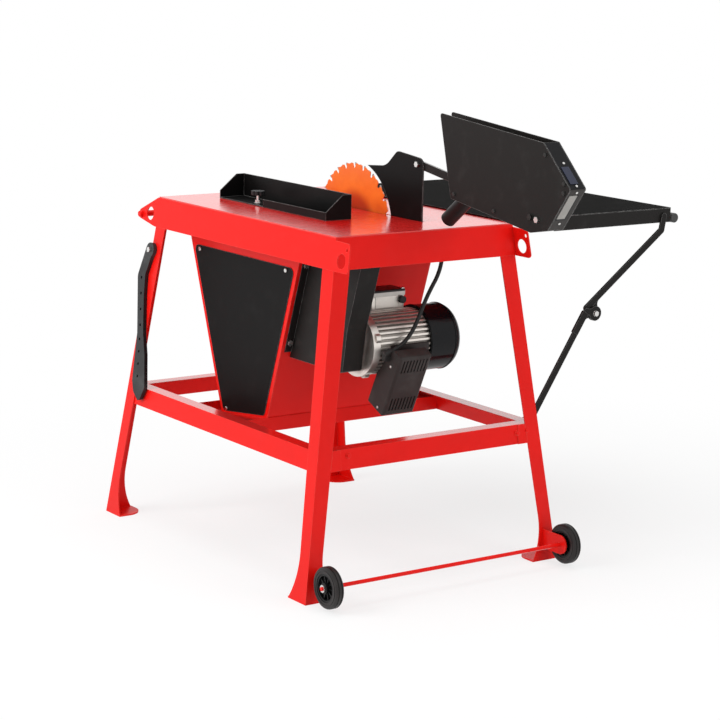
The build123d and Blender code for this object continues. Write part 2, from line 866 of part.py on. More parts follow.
def capacitor_box():
    """The slotted capacitor box, hollowed to sit on the motor's fins, with its saddle and a cable ledge."""
    outer = capacitor_inner + capacitor_depth
    far_y = capacitor_near_y + capacitor_length
    box = block((capacitor_inner, capacitor_near_y, capacitor_bottom), (outer, far_y, capacitor_top))
    box = fillet(box.edges().filter_by(Axis.Y) + box.edges().filter_by(Axis.Z), capacitor_round)
    ledge_x = capacitor_inner + cable_ledge
    ledge_z = capacitor_top - cable_ledge_drop
    ledge = outline([
        (capacitor_inner, capacitor_top),
        (ledge_x + cable_ledge_bevel, capacitor_top),
        (ledge_x, ledge_z),
        (capacitor_inner, ledge_z),
    ])
    box -= extrude(upright(capacitor_near_y) * ledge, -capacitor_length)
    saddle_radius = motor_radius + saddle_sheet
    saddle = rod_y(saddle_radius, saddle_near_y, saddle_far_y, 0, 0)
    saddle &= block((capacitor_inner, saddle_near_y, 0), (saddle_radius, saddle_far_y, saddle_top))
    box += saddle
    box -= rod_y(motor_radius, capacitor_near_y, saddle_far_y, 0, 0)
    first = (capacitor_near_y + far_y) / 2 - slot_pitch * (capacitor_slots - 1) / 2
    top_inset, bottom_inset = slot_insets
    for top in (capacitor_top - top_inset, capacitor_bottom + bottom_inset + slot_height):
        for index in range(capacitor_slots):
            y = first + index * slot_pitch
            slot = block(
                (outer - slot_depth, y - slot_width / 2, top - slot_height), (outer, y + slot_width / 2, top)
            )
            box -= slot
    return motor_place * box


def capacitor_gland():
    """The plane at the foot of the capacitor box's gland; the gland runs along its normal."""
    foot = motor_place * Pos(gland_x, capacitor_near_y - gland_reach, gland_z)
    rise = gland_rise * pi / 180
    return Plane(origin=foot.position, x_dir=(1, 0, 0), z_dir=(0, cos(rise), sin(rise)))


def cable_glands():
    """The glands of the terminal box and of the capacitor box."""
    face_x = terminal_x + terminal_width / 2
    terminal = rod_x(gland_radius, face_x, face_x + terminal_gland_length, terminal_gland_y, terminal_gland_z)
    capacitor = extrude(capacitor_gland() * Circle(gland_radius), gland_length)
    foot = motor_place * block(
        (capacitor_inner + cable_ledge, capacitor_near_y - gland_reach, gland_z - gland_foot),
        (gland_x + gland_radius, capacitor_near_y + capacitor_round, gland_z),
    )
    return motor_axis * terminal + (capacitor + foot - capacitor_box())


def cable_route():
    """Corners of the motor cable's route, from the gland up into the junction box."""
    gland = capacitor_gland()
    start = gland.origin + gland.z_dir * gland_length
    end = Vector(junction_x, junction_y, junction_bottom)
    bends = [motor_axis.position + Vector(*point) for point in cable_bends]
    return [start, start + gland.z_dir * cable_first_run, *bends, end - Vector(0, 0, cable_last_run), end]


def motor_cable():
    """The cable from the capacitor box to the junction box, bent with tangent arcs."""
    route = cable_route()
    radii = []
    for before, corner, after in zip(route, route[1:], route[2:]):
        arriving = corner - before
        leaving = after - corner
        half_turn = arriving.get_angle(leaving) / 2
        radii.append(cable_bend_share * min(arriving.length, leaving.length) / tan(half_turn * pi / 180))
    print("cable bend radii", [round(radius, 1) for radius in radii])
    path = FilletPolyline(*route, radius=radii)
    section = Plane(origin=path @ 0, z_dir=path % 0) * Circle(cable_diameter / 2)
    cable = sweep(section, path=path)
    share = cable.volume / (section.area * path.length)
    print("cable length", round(path.length, 1), "volume against section times length", round(share, 4))
    return cable


def junction_box():
    """The plain junction box under the table, where the motor cable ends."""
    box = block(
        (junction_x - junction_width / 2, junction_y - junction_length / 2, junction_bottom),
        (junction_x + junction_width / 2, junction_y + junction_length / 2, underside),
    )
    return fillet(box.edges().filter_by(Axis.Z), box_round)


# Blade and drive

def saw_blade():
    """The toothed blade with chip limiters; its teeth come over the top towards the infeed end."""
    pitch = 2 * pi / blade_teeth
    points = []
    for tooth in range(blade_teeth):
        for turn, drop in tooth_profile:
            angle = (tooth + turn) * pitch
            radius = blade_radius - drop
            points.append((radius * cos(angle), blade_z + radius * sin(angle)))
    disc = extrude(upright(blade_y - blade_thickness / 2) * outline(points), -blade_thickness)
    return disc - rod_y(arbor_radius, 0, 2 * blade_y, 0, blade_z)


def blade_flanges():
    """The two clamping flanges and the arbor nut."""
    near = blade_y - blade_thickness / 2
    far = blade_y + blade_thickness / 2
    flanges = rod_y(flange_radius, near - flange_thickness, near, 0, blade_z)
    flanges += rod_y(flange_radius, far, far + flange_thickness, 0, blade_z)
    nut = Pos(0, blade_z) * RegularPolygon(nut_radius, 6)
    flanges += extrude(upright(far + flange_thickness) * nut, -nut_thickness)
    return flanges - rod_y(arbor_radius, 0, 2 * blade_y, 0, blade_z)


def arbor_shaft():
    """The blade's arbor with its belt pulley."""
    far = blade_y + blade_thickness / 2 + flange_thickness + nut_thickness
    shaft = rod_y(arbor_radius, arbor_near_y, far, 0, blade_z)
    return shaft + rod_y(pulley_radius, pulley_y - pulley_width / 2, pulley_y + pulley_width / 2, 0, blade_z)


def motor_pulley():
    """The motor shaft with its belt pulley."""
    shaft = rod_y(motor_shaft_radius, arbor_near_y, motor_shaft_end_y, motor_x, motor_z)
    half = pulley_width / 2
    return shaft + rod_y(pulley_radius, pulley_y - half, pulley_y + half, motor_x, motor_z)


def drive_belt():
    """The belt round both pulleys."""
    rise = blade_z - motor_z
    distance = (motor_x ** 2 + rise ** 2) ** 0.5
    inner = pulley_radius + belt_clearance
    angle = -degrees(atan(rise / motor_x))
    loop = SlotCenterToCenter(distance, 2 * (inner + belt_thickness), rotation=angle)
    loop -= SlotCenterToCenter(distance, 2 * inner, rotation=angle)
    loop = Pos(motor_x / 2, (blade_z + motor_z) / 2) * loop
    return extrude(upright(pulley_y - belt_width / 2) * loop, -belt_width)


def table_blocks():
    """The arbor's two bearing blocks and the riving knife's clamp block, hung from the table."""
    blocks = Part()
    for y in bearing_places:
        bearing = block(
            (-bearing_half_width, y - bearing_half_length, bearing_bottom),
            (bearing_half_width, y + bearing_half_length, underside),
        )
        blocks += bearing - rod_y(arbor_radius + running_clearance, arbor_near_y, 2 * blade_y, 0, blade_z)
    knife_face = blade_y + knife_thickness / 2
    blocks += block(
        (knife_tail_x, knife_face, knife_tail_bottom), (knife_end_x, knife_face + clamp_depth, underside)
    )
    return blocks


# Riving knife and guard

def pivot_bolt():
    """The bolt that the guard's arm turns on, with its nut beyond the arm."""
    near = blade_y - knife_thickness / 2
    arm_far = arm_near_y + arm_thickness + moving_gap
    x, z = guard_pivot
    bolt = Pos(x, near, z) * Rot(90, 0, 0) * hex_bolt(arm_far - near + bolt_head_height)
    nut = Pos(x, arm_far, z) * Rot(-90, 0, 0) * hex_bolt(knife_thickness)
    return bolt + nut


def riving_knife():
    """The riving knife, which follows the blade and carries the guard's arm."""
    radius = blade_radius + knife_gap
    foot = ((radius ** 2 - (underside - blade_z) ** 2) ** 0.5, underside)
    tip = (knife_tip_x, blade_z + (radius ** 2 - knife_tip_x ** 2) ** 0.5)
    middle = (radius * cos(pi / 4), blade_z + radius * sin(pi / 4))
    tail = [(knife_end_x, knife_tail_bottom), (knife_tail_x, knife_tail_bottom), (knife_tail_x, underside)]
    edge = Polyline(tip, *knife_back, *tail, foot) + ThreePointArc(foot, middle, tip)
    face = rounded(make_face(edge), knife_back, knife_rounds)
    plate = extrude(upright(blade_y - knife_thickness / 2) * face, -knife_thickness)
    return plate - pivot_bolt()


def guard_bolt_places():
    """The bolt at the arm's end and the stud beside it, further along the arm."""
    run = (Vector(*guard_bolt) - Vector(*guard_pivot)).normalized()
    return [Vector(*guard_bolt), Vector(*guard_bolt) + run * guard_stud_offset]


def guard_fixings():
    """The arm's bolt and stud through both plates, with the sleeves that centre the arm."""
    fixings = Part()
    arm_far_y = arm_near_y + arm_thickness
    for place in guard_bolt_places():
        bolt = Pos(place.X, guard_near_y, place.Y) * Rot(90, 0, 0) * hex_bolt(guard_width + bolt_head_height)
        bolt += rod_y(sleeve_radius, guard_near_y + guard_sheet, arm_near_y, place.X, place.Y)
        bolt += rod_y(sleeve_radius, arm_far_y, guard_far_y - guard_sheet, place.X, place.Y)
        bolt += Pos(place.X, guard_far_y, place.Y) * Rot(-90, 0, 0) * hex_bolt(guard_sheet)
        fixings += bolt
    return fixings


def roof_plane(bend, share):
    """A plane on the outside of the guard's roof, a share of the way along one of its bends."""
    start = Vector(*guard_corners[bend])
    run = Vector(*guard_corners[bend + 1]) - start
    place = start + run * share
    middle = (place.X, guard_near_y + guard_width / 2, place.Y)
    return Plane(origin=middle, x_dir=(run.X, 0, run.Y), z_dir=(-run.Y, 0, run.X))


def guard_bolts():
    """All the guard's fasteners: bolt, stud and the panel screws of both plates and of the roof."""
    bolts = guard_fixings()
    for x, z in guard_screws:
        bolts += Pos(x, guard_near_y, z) * Rot(90, 0, 0) * pan_screw()
        bolts += Pos(x, guard_far_y, z) * Rot(-90, 0, 0) * pan_screw()
    for bend, share in roof_screws:
        bolts += roof_plane(bend, share) * pan_screw(small_screw_radius)
    return bolts


def guard_arm():
    """The flat arm from the riving knife to the guard."""
    end = guard_bolt_places()[1]
    shape = bar_path([guard_pivot, (end.X, end.Y)], arm_width)
    arm = extrude(upright(arm_near_y) * shape, -arm_thickness)
    arm -= rod_y(bolt_radius + running_clearance, 0, 2 * blade_y, *guard_pivot)
    return arm - guard_fixings()


def guard_plate(y, mouth_shift):
    """A side plate of the guard; mouth_shift moves its open corner towards the infeed end."""
    mouth_x, mouth_z = guard_corners[0]
    points = [(mouth_x - mouth_shift, mouth_z)] + guard_corners[1:]
    rounds = {index: guard_round for index in range(len(points))}
    return extrude(upright(y) * outline(points, rounds), -guard_sheet) - guard_fixings()


def spout_rod(radius, start_share, end_share):
    """A round bar along the spout; the shares run from its root at 0 to its end at 1."""
    y = guard_near_y + guard_width / 2
    root = Vector(spout_root[0], y, spout_root[1])
    run = Vector(spout_end[0], y, spout_end[1]) - root
    plane = Plane(origin=root + run * start_share, x_dir=(0, 1, 0), z_dir=run)
    return extrude(plane * Circle(radius), run.length * (end_share - start_share))


def guard_shell():
    """The bent roof between the side plates, open on the mouth side."""
    rounds = {index: guard_round for index in range(len(guard_corners))}
    outer = outline(guard_corners, rounds)
    band = outer - offset(outer, -guard_sheet)
    mouth = make_face(Polyline(guard_corners[5], guard_corners[0], guard_corners[1], close=True))
    depth = guard_width - 2 * guard_sheet
    shell = extrude(upright(guard_near_y + guard_sheet) * (band - mouth), -depth)
    return shell - spout_rod(spout_radius, -0.5, 1)


def guard_spout():
    """The dust spout on the guard's roof."""
    return spout_rod(spout_radius, -spout_inset, 1) - spout_rod(spout_radius - spout_wall, -spout_inset, 1)


def guard_cover_panel(bend, shares, margins):
    """A flat panel on the outside of the roof, between two shares of one of its bends."""
    low = roof_plane(bend, shares[0])
    length = (roof_plane(bend, shares[1]).origin - low.origin).length
    near, far = [guard_width / 2 - margin for margin in margins]
    return low * block((0, -near, 0), (length, far, panel_thickness))


# Rip fence

def rip_fence():
    """The bent rip fence: base, tall back, low front lip beyond the knob and two end gussets."""
    base = table_height + fence_lift
    length = (fence_infeed_x, fence_outfeed_x)
    floor = block((length[0], fence_front_y, base), (length[1], fence_back_y, base + fence_sheet))
    inner_y = fence_back_y - fence_sheet
    back = block((length[0], inner_y, base), (length[1], fence_back_y, base + fence_height))
    lip = block(
        (fence_knob_x + fence_lip_gap, fence_front_y, base),
        (length[1], fence_front_y + fence_sheet, base + fence_lip_height),
    )
    gusset_points = [
        (fence_front_y, base),
        (fence_back_y, base),
        (fence_back_y, base + fence_height),
        (fence_back_y - fence_crest, base + fence_height),
        (fence_front_y, base + fence_lip_height),
    ]
    gusset = outline(gusset_points)
    ends = extrude(crosswise(length[0]) * gusset, fence_sheet)
    ends += extrude(crosswise(length[1]) * gusset, -fence_sheet)
    hole = Cylinder(fence_screw_radius + running_clearance, fence_sheet, align=on_base)
    return floor + back + lip + ends - Pos(fence_knob_x, fence_knob_y, base) * hole


def fence_screw():
    """The clamping screw with its square plate below the table, and washer and nut on the fence."""
    low = underside - screw_drop
    high = knob_height + knob_bore_depth
    screw = Pos(0, 0, low) * Cylinder(fence_screw_radius, high - low, align=on_base)
    nut_z = underside - moving_gap - nut_plate
    screw += Pos(0, 0, nut_z) * Box(nut_side, nut_side, nut_plate, align=on_base)
    washer_z = table_height + fence_lift + fence_sheet + moving_gap
    screw += Pos(0, 0, washer_z) * Cylinder(washer_radius, washer_height, align=on_base)
    lock_nut = extrude(RegularPolygon(lock_nut_radius, 6), lock_nut_height)
    screw += Pos(0, 0, washer_z + washer_height) * lock_nut
    return Pos(fence_knob_x, fence_knob_y, 0) * screw


def fence_knob():
    """The lobed clamping knob that turns on the screw."""
    shape = Circle(knob_radius - knob_lobe)
    for index in range(knob_lobes):
        shape += Rot(0, 0, index * 360 / knob_lobes) * Pos(knob_radius - knob_lobe, 0) * Circle(knob_lobe)
    knob = extrude(shape, knob_thickness)
    knob = fillet(knob.faces().sort_by(Axis.Z)[-1].edges(), knob_round)
    knob -= Cylinder(fence_screw_radius + running_clearance, knob_bore_depth + moving_gap, align=on_base)
    return Pos(fence_knob_x, fence_knob_y, knob_height) * knob


# Table extension and brace

def extension_top():
    """The sheet of the table extension, its edge by the table bent down."""
    near_y = half_width + extension_gap
    plate = block(
        (-extension_half_length, near_y, plate_bottom),
        (extension_half_length, extension_reach, extension_height),
    )
    plate += block(
        (-extension_half_length, near_y, plate_bottom - near_lip_depth),
        (extension_half_length, near_y + extension_sheet, plate_bottom),
    )
    return plate


def hinge_knuckle(place, start, end):
    """A piece of hinge tube along X."""
    return rod_x(hinge_radius, place + start, place + end, hinge_y, hinge_z)


def extension_hinge(place):
    """One hinge strap under the extension, with a knuckle on each side of the stand's own."""
    half = hinge_length / 2
    strap_far = hinge_y + strap_length
    strap_near = hinge_y + hinge_radius
    strap = block(
        (place - half, strap_near, plate_bottom - extension_sheet), (place + half, strap_far, plate_bottom)
    )
    inner = hinge_length / 4 + moving_gap
    for start, end in ((-half, -inner), (inner, half)):
        strap += hinge_knuckle(place, start, end)
        strap += block(
            (place + start, hinge_y, plate_bottom - 3 * extension_sheet),
            (place + end, hinge_y + 2 * hinge_radius, plate_bottom),
        )
    return strap - rod_x(hinge_pin_radius + running_clearance, place - half, place + half, hinge_y, hinge_z)


def extension_frame():
    """The turned-down lips under the extension and its two hinge straps."""
    bottom = extension_height - lip_depth
    start = hinge_y + lip_setback
    points = [
        (start, plate_bottom),
        (extension_reach, plate_bottom),
        (extension_reach, bottom),
        (start + lip_depth, bottom),
    ]
    side = extrude(crosswise(extension_half_length) * outline(points), -extension_sheet)
    side -= rod_x(brace_pin_radius + running_clearance, 0, 2 * extension_half_length, *brace_top)
    other = extrude(crosswise(-extension_half_length) * outline(points), extension_sheet)
    far = block(
        (-extension_half_length, extension_reach - extension_sheet, bottom),
        (extension_half_length, extension_reach, plate_bottom),
    )
    frame = side + other + far
    for place in hinge_places:
        frame += extension_hinge(place)
    return frame


def extension_tube():
    """The round tube along the extension's far edge."""
    reach = extension_half_length + edge_tube_overhang
    tube = rod_x(edge_tube_radius, -reach, reach, extension_reach + edge_tube_radius, edge_tube_height)
    return fillet(tube.edges(), bar_round)


def hinge_leaves():
    """The stand's hinge leaves on the far apron, with knuckle and pin."""
    plane = near_plane()
    leaves = Part()
    for place in hinge_places:
        half = hinge_length / 4
        left = place - half
        right = place + half
        points = [(left, leaf_bottom), (right, leaf_bottom), (right, hinge_z), (left, hinge_z)]
        leaf = mirror(extrude(plane * outline(up_slope(plane, points)), sheet), about=Plane.XZ)
        leaf += hinge_knuckle(place, -half, half)
        pin = hinge_length / 2
        leaves += leaf + rod_x(hinge_pin_radius, place - pin, place + pin, hinge_y, hinge_z)
    return leaves


def brace_upper_arm():
    """The upper brace arm, which hangs on a pin in the extension's outfeed lip."""
    near = extension_half_length + moving_gap
    shape = bar_path([brace_top, brace_bend, brace_shoulder, brace_knuckle], brace_width)
    shape += Pos(*brace_knuckle) * Circle(knuckle_radius)
    shape -= Pos(*brace_knuckle) * Circle(brace_pin_radius)
    arm = extrude(crosswise(near) * shape, brace_thickness)
    inside = extension_half_length - extension_sheet - moving_gap
    arm += rod_x(brace_pin_radius, inside - brace_pin_head, near, *brace_top)
    return arm + rod_x(2 * brace_pin_radius, inside - brace_pin_head, inside, *brace_top)


def brace_lower_arm():
    """The lower brace arm with the knuckle bolt; it turns on the pin of the brace foot."""
    near = extension_half_length + 2 * moving_gap + brace_thickness
    shape = bar_path([brace_foot_pivot, brace_elbow, brace_knuckle], brace_width)
    shape += Pos(*brace_knuckle) * Circle(knuckle_radius)
    shape -= Pos(*brace_foot_pivot) * Circle(brace_pin_radius + running_clearance)
    arm = extrude(crosswise(near) * shape, brace_thickness)
    head = Pos(near + brace_thickness, *brace_knuckle) * Rot(0, 90, 0) * hex_bolt(brace_thickness)
    return arm + head


def brace_foot():
    """The small bracket on the far stretcher that the brace stands on."""
    y, z = brace_foot_pivot
    far = extension_half_length + moving_gap + brace_thickness
    points = [
        (side_y(z + foot_half, 2 * sheet), z + foot_half),
        (y, z + foot_pivot_radius),
        (y, z - foot_pivot_radius),
        (side_y(z - foot_half, 2 * sheet), z - foot_half),
    ]
    shape = outline(points) + Pos(y, z) * Circle(foot_pivot_radius)
    bracket = extrude(crosswise(far) * shape, -brace_thickness)
    outer = far + 2 * moving_gap + brace_thickness
    bracket += rod_x(brace_pin_radius, far, outer, y, z)
    return bracket + rod_x(2 * brace_pin_radius, outer, outer + brace_pin_head, y, z)


# Wheels

def axle_bracket():
    """The near axle bracket on the outfeed face of the leg."""
    top = wheel_z + bracket_radius
    bottom = wheel_z - bracket_radius
    points = [(end_x(top, sheet), top), (wheel_x, top), (wheel_x, bottom), (end_x(bottom, sheet), bottom)]
    shape = outline(points) + Pos(wheel_x, wheel_z) * Circle(bracket_radius)
    inner = wheel_y - hub_width / 2 - bracket_gap
    plate = extrude(upright(-inner) * shape, -bracket_thickness)
    return plate - rod_y(axle_radius, -axle_half_length, 0, wheel_x, wheel_z)


def wheel_axle():
    """The axle through both brackets and both wheels."""
    axle = rod_y(axle_radius, -axle_half_length, axle_half_length, wheel_x, wheel_z)
    return chamfer(axle.edges(), axle_chamfer)


def axle_cap():
    """The near retaining cap on the axle, just outside the hub."""
    start = wheel_y + hub_width / 2 + moving_gap
    cap = rod_y(axle_cap_radius, -start - axle_cap_thickness, -start, wheel_x, wheel_z)
    return cap - rod_y(axle_radius, -axle_half_length, 0, wheel_x, wheel_z)


def wheel_hub():
    """The ribbed near hub with its web and rim."""
    half = rim_width / 2
    hub = rod_y(tyre_inner_radius, -half, half, 0, 0) - rod_y(rim_inner_radius, -half, half, 0, 0)
    hub += rod_y(hub_radius, -hub_width / 2, hub_width / 2, 0, 0)
    reach = (rim_inner_radius + tyre_inner_radius) / 2
    hub += rod_y(reach, -web_thickness / 2, web_thickness / 2, 0, 0)
    rib = block((0, -rib_depth / 2, -rib_width / 2), (reach, rib_depth / 2, rib_width / 2))
    for index in range(rib_count):
        hub += Rot(0, index * 360 / rib_count, 0) * rib
    hub -= rod_y(axle_radius + running_clearance, -hub_width, hub_width, 0, 0)
    return Pos(wheel_x, -wheel_y, wheel_z) * hub


def wheel_tyre():
    """The near rubber tyre with two grooves in its tread."""
    half = tyre_width / 2
    tyre = rod_y(wheel_radius, -half, half, 0, 0)
    tyre = fillet(tyre.edges(), tyre_round) - rod_y(tyre_inner_radius, -half, half, 0, 0)
    for middle in (-groove_offset, groove_offset):
        start = middle - groove_width / 2
        end = middle + groove_width / 2
        tyre -= rod_y(wheel_radius, start, end, 0, 0) - rod_y(wheel_radius - groove_depth, start, end, 0, 0)
    return Pos(wheel_x, -wheel_y, wheel_z) * tyre


# Push stick

def stick_fixing():
    """The bolt that the push stick hangs on."""
    plane = near_plane(sheet - moving_gap)
    x, height = up_slope(plane, [stick_bolt])[0]
    head = plane * Pos(x, height, stick_thickness + moving_gap)
    return head * hex_bolt(stick_thickness + 2 * moving_gap + sheet)


def push_stick():
    """The push stick, which hangs from its bolt on the near infeed leg."""
    plane = near_plane(sheet - moving_gap)
    corners = up_slope(plane, [stepped(stick_bolt, point) for point in stick_outline])
    shape = outline(corners, {1: stick_bend, 3: stick_round, 4: stick_round, 7: stick_round})
    x, height = up_slope(plane, [stick_bolt])[0]
    shape += Pos(x, height) * Circle(stick_head_radius)
    shape -= Pos(x, height) * Circle(bolt_radius + running_clearance)
    middle = up_slope(plane, [stepped(stick_bolt, point) for point in stick_middle])
    top, bend, low = [Vector(*point) for point in middle]
    for index in range(stick_hole_count):
        share = 2 * index / (stick_hole_count - 1)
        place = top + (bend - top) * share if share < 1 else bend + (low - bend) * (share - 1)
        shape -= Pos(place.X, place.Y) * RectangleRounded(stick_hole, stick_hole, stick_hole / 4)
    return extrude(plane * shape, stick_thickness)


# Fasteners

def panel_screws():
    """Panel screws of the hopper cover, of the terminal lid and of the capacitor box."""
    screws = Part()
    middle_x, middle_z = [sum(values) / 4 for values in zip(*cover_points())]
    for corner, (side, drop) in cover_screw_insets.items():
        x, z = cover_points()[corner]
        screw_x = x + copysign(side, middle_x - x)
        screw_z = z + copysign(drop, middle_z - z)
        screws += Pos(screw_x, -hopper_half_width - cover_thickness, screw_z) * Rot(90, 0, 0) * pan_screw()
    lid_top = terminal_top + lid_thickness
    lid_ends = (terminal_near_y + box_round, terminal_near_y + terminal_length - box_round)
    for x, y in zip((-lid_screw_x, lid_screw_x), lid_ends):
        screws += motor_axis * Pos(terminal_x + x, y, lid_top) * pan_screw()
    far_y = capacitor_near_y + capacitor_length
    for x, z in capacitor_screw_places:
        for y, turn in ((capacitor_near_y, 90), (far_y, -90)):
            screws += motor_place * Pos(x, y, z) * Rot(turn, 0, 0) * pan_screw(small_screw_radius)
    return screws


def hex_bolts():
    """The stand's hexagon bolts: belt housing, motor shield, push stick and guard pivot."""
    return housing_bolts() + ear_screws() + stick_fixing() + pivot_bolt()


# All pieces, each under the name of its file

near_infeed_leg = mirror(leg(leg_infeed_widths), about=Plane.YZ)
near_outfeed_leg = leg(leg_outfeed_widths)
pieces = {
    "table_top": table_top(),
    "apron_near": side_apron(),
    "apron_far": mirror(side_apron(), about=Plane.XZ),
    "apron_infeed": mirror(end_apron(), about=Plane.YZ),
    "apron_outfeed": end_apron(),
    "leg_near_infeed": near_infeed_leg - stick_fixing(),
    "leg_near_outfeed": near_outfeed_leg,
    "leg_far_infeed": mirror(near_infeed_leg, about=Plane.XZ),
    "leg_far_outfeed": mirror(near_outfeed_leg, about=Plane.XZ),
    "side_stretchers": both_sides(side_stretcher()),
    "end_stretchers": end_stretchers(),
    "handle_bar": handle_bar(),
    "hopper_side_walls": both_sides(hopper_side_wall()),
    "hopper_end_walls": hopper_end_walls(),
    "hopper_cover": hopper_cover(),
    "panel_screws": panel_screws(),
    "drive_housing": drive_housing(),
    "hex_bolts": hex_bolts(),
    "motor_body": motor_body(),
    "motor_shield": motor_shield(),
    "fan_cover": fan_cover(),
    "terminal_box": terminal_box(),
    "terminal_lid": terminal_lid(),
    "capacitor_box": capacitor_box(),
    "cable_glands": cable_glands(),
    "motor_cable": motor_cable(),
    "junction_box": junction_box(),
    "table_blocks": table_blocks(),
    "drive_belt": drive_belt(),
    "riving_knife": riving_knife(),
    "wheel_axle": wheel_axle(),
    "axle_brackets": both_sides(axle_bracket()),
    "axle_caps": both_sides(axle_cap()),
    "hinge_leaves": hinge_leaves(),
    "brace_foot": brace_foot(),
    "saw_blade": saw_blade(),
    "arbor_shaft": arbor_shaft(),
    "blade_flanges": blade_flanges(),
    "motor_pulley": motor_pulley(),
    "guard_arm": guard_arm(),
    "guard_near_plate": guard_plate(guard_near_y, 0),
    "guard_far_plate": guard_plate(guard_far_y - guard_sheet, far_mouth_shift),
    "guard_shell": guard_shell(),
    "guard_window": guard_cover_panel(1, window_shares, window_margins),
    "guard_panel": guard_cover_panel(2, panel_shares, panel_margins),
    "guard_spout": guard_spout(),
    "guard_bolts": guard_bolts(),
    "rip_fence": rip_fence(),
    "fence_screw": fence_screw(),
    "fence_knob": fence_knob(),
    "extension_top": extension_top(),
    "extension_frame": extension_frame(),
    "extension_tube": extension_tube(),
    "brace_upper_arm": brace_upper_arm(),
    "brace_lower_arm": brace_lower_arm(),
    "tyre_near": wheel_tyre(),
    "tyre_far": mirror(wheel_tyre(), about=Plane.XZ),
    "hub_near": wheel_hub(),
    "hub_far": mirror(wheel_hub(), about=Plane.XZ),
    "push_stick": push_stick(),
}

box_low_x = -half_length - nose_reach
box_high_x = guard_corners[2][0]
box_low_y = -side_y(0, sheet)
box_high_y = extension_reach + 2 * edge_tube_radius
to_floor_centre = Pos(-(box_low_x + box_high_x) / 2, -(box_low_y + box_high_y) / 2, 0)
print("moved by", to_floor_centre.position)

os.makedirs("parts", exist_ok=True)
for name, piece in pieces.items():
    export_step(to_floor_centre * piece, f"parts/{name}.step")
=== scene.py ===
# %% [markdown]
# # A site saw in red and black
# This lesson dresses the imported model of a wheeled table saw. The shapes come from the frame, which is
# never moved. Blender adds the finishes, the motor cable, the blade's tips and a few small fittings, and
# then the stage.

# %% The frame
import math
import bmesh
import bpy
from mathutils import Matrix, Vector
from mathutils.bvhtree import BVHTree


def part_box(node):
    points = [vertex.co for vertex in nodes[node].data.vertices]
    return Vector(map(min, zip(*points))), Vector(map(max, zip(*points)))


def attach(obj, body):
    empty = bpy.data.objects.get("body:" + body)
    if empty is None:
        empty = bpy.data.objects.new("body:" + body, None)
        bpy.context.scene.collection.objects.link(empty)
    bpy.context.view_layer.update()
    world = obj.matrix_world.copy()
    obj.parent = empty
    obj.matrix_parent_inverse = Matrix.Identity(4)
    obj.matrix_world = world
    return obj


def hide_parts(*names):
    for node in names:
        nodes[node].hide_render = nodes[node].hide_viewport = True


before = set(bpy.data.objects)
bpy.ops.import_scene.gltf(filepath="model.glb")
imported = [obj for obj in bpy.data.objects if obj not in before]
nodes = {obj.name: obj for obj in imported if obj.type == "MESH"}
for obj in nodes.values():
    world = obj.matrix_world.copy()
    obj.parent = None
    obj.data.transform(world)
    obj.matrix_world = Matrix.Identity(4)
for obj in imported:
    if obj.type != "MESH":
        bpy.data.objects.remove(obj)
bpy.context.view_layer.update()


def add_object(name, data):
    """A new object in the scene that shows this mesh, curve, camera or lamp."""
    item = bpy.data.objects.new(name, data)
    bpy.context.scene.collection.objects.link(item)
    return item


# %% [markdown]
# ## The camera
# The photograph was taken from the outfeed corner, a little above the table, with a long lens. A camera
# can be aimed with a Track To constraint, but that can't hold the small roll of a hand-set tripod. Three
# turns do it: about the vertical, down from the horizon, and about the line of sight.

# %% Camera
camera_place = Vector((4.3528, -3.3173, 1.5665))
camera_azimuth = math.radians(54.872)
camera_elevation = math.radians(11.371)
camera_roll = math.radians(1.227)

camera_data = bpy.data.cameras.new("camera")
camera_data.lens = 109.1
camera_data.sensor_width = 36
camera = add_object("camera", camera_data)
turn_round = Matrix.Rotation(camera_azimuth, 4, "Z")
look_down = Matrix.Rotation(math.pi / 2 - camera_elevation, 4, "X")
lean_over = Matrix.Rotation(camera_roll, 4, "Z")
camera.matrix_world = Matrix.Translation(camera_place) @ turn_round @ look_down @ lean_over
bpy.context.scene.camera = camera
print("camera at", [round(value, 2) for value in camera_place])

# %% [markdown]
# ## The motor cable
# A short rubber cable leaves the gland on the capacitor box and climbs to the junction box under the
# table. It is held at both ends, so it bends in one long sweep. A bevelled curve is the plain way to make
# a cable: a NURBS spline of order three passes smoothly inside the corners of its route, and the bevel
# gives it its thickness. The bevel is one metre deep and each point carries the cable's radius, since a
# curve's box grows by the radius of its points.

# %% Motor cable
cable_diameter = 0.010
cable_route = [
    (0.19867, -0.30649, 0.55646),
    (0.19867, -0.27321, 0.56728),
    (0.20150, -0.23852, 0.60600),
    (0.20050, -0.20452, 0.68200),
    (0.19950, -0.15852, 0.74900),
    (0.19950, -0.15852, 0.79200),
]

cable_curve = bpy.data.curves.new("motor_lead", "CURVE")
cable_curve.dimensions = "3D"
cable_curve.bevel_depth = 1.0
cable_curve.bevel_resolution = 6
cable_curve.resolution_u = 12
cable_curve.use_fill_caps = True
cable_spline = cable_curve.splines.new("NURBS")
cable_spline.points.add(len(cable_route) - 1)
for point, place in zip(cable_spline.points, cable_route):
    point.co = (*place, 1)
    point.radius = cable_diameter / 2
cable_spline.order_u = 3
cable_spline.use_endpoint_u = True
motor_lead = add_object("motor_lead", cable_curve)
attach(motor_lead, "stand")
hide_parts("motor_cable")
print("motor cable on", len(cable_route), "points")

# %% [markdown]
# ## Shader maths as Python
# Materials here are node trees. Joining dozens of Math nodes by hand is hard to read, so one small class
# wraps a socket. Its operators add Math nodes, and its `make` method adds any other node: settings first,
# then sockets.


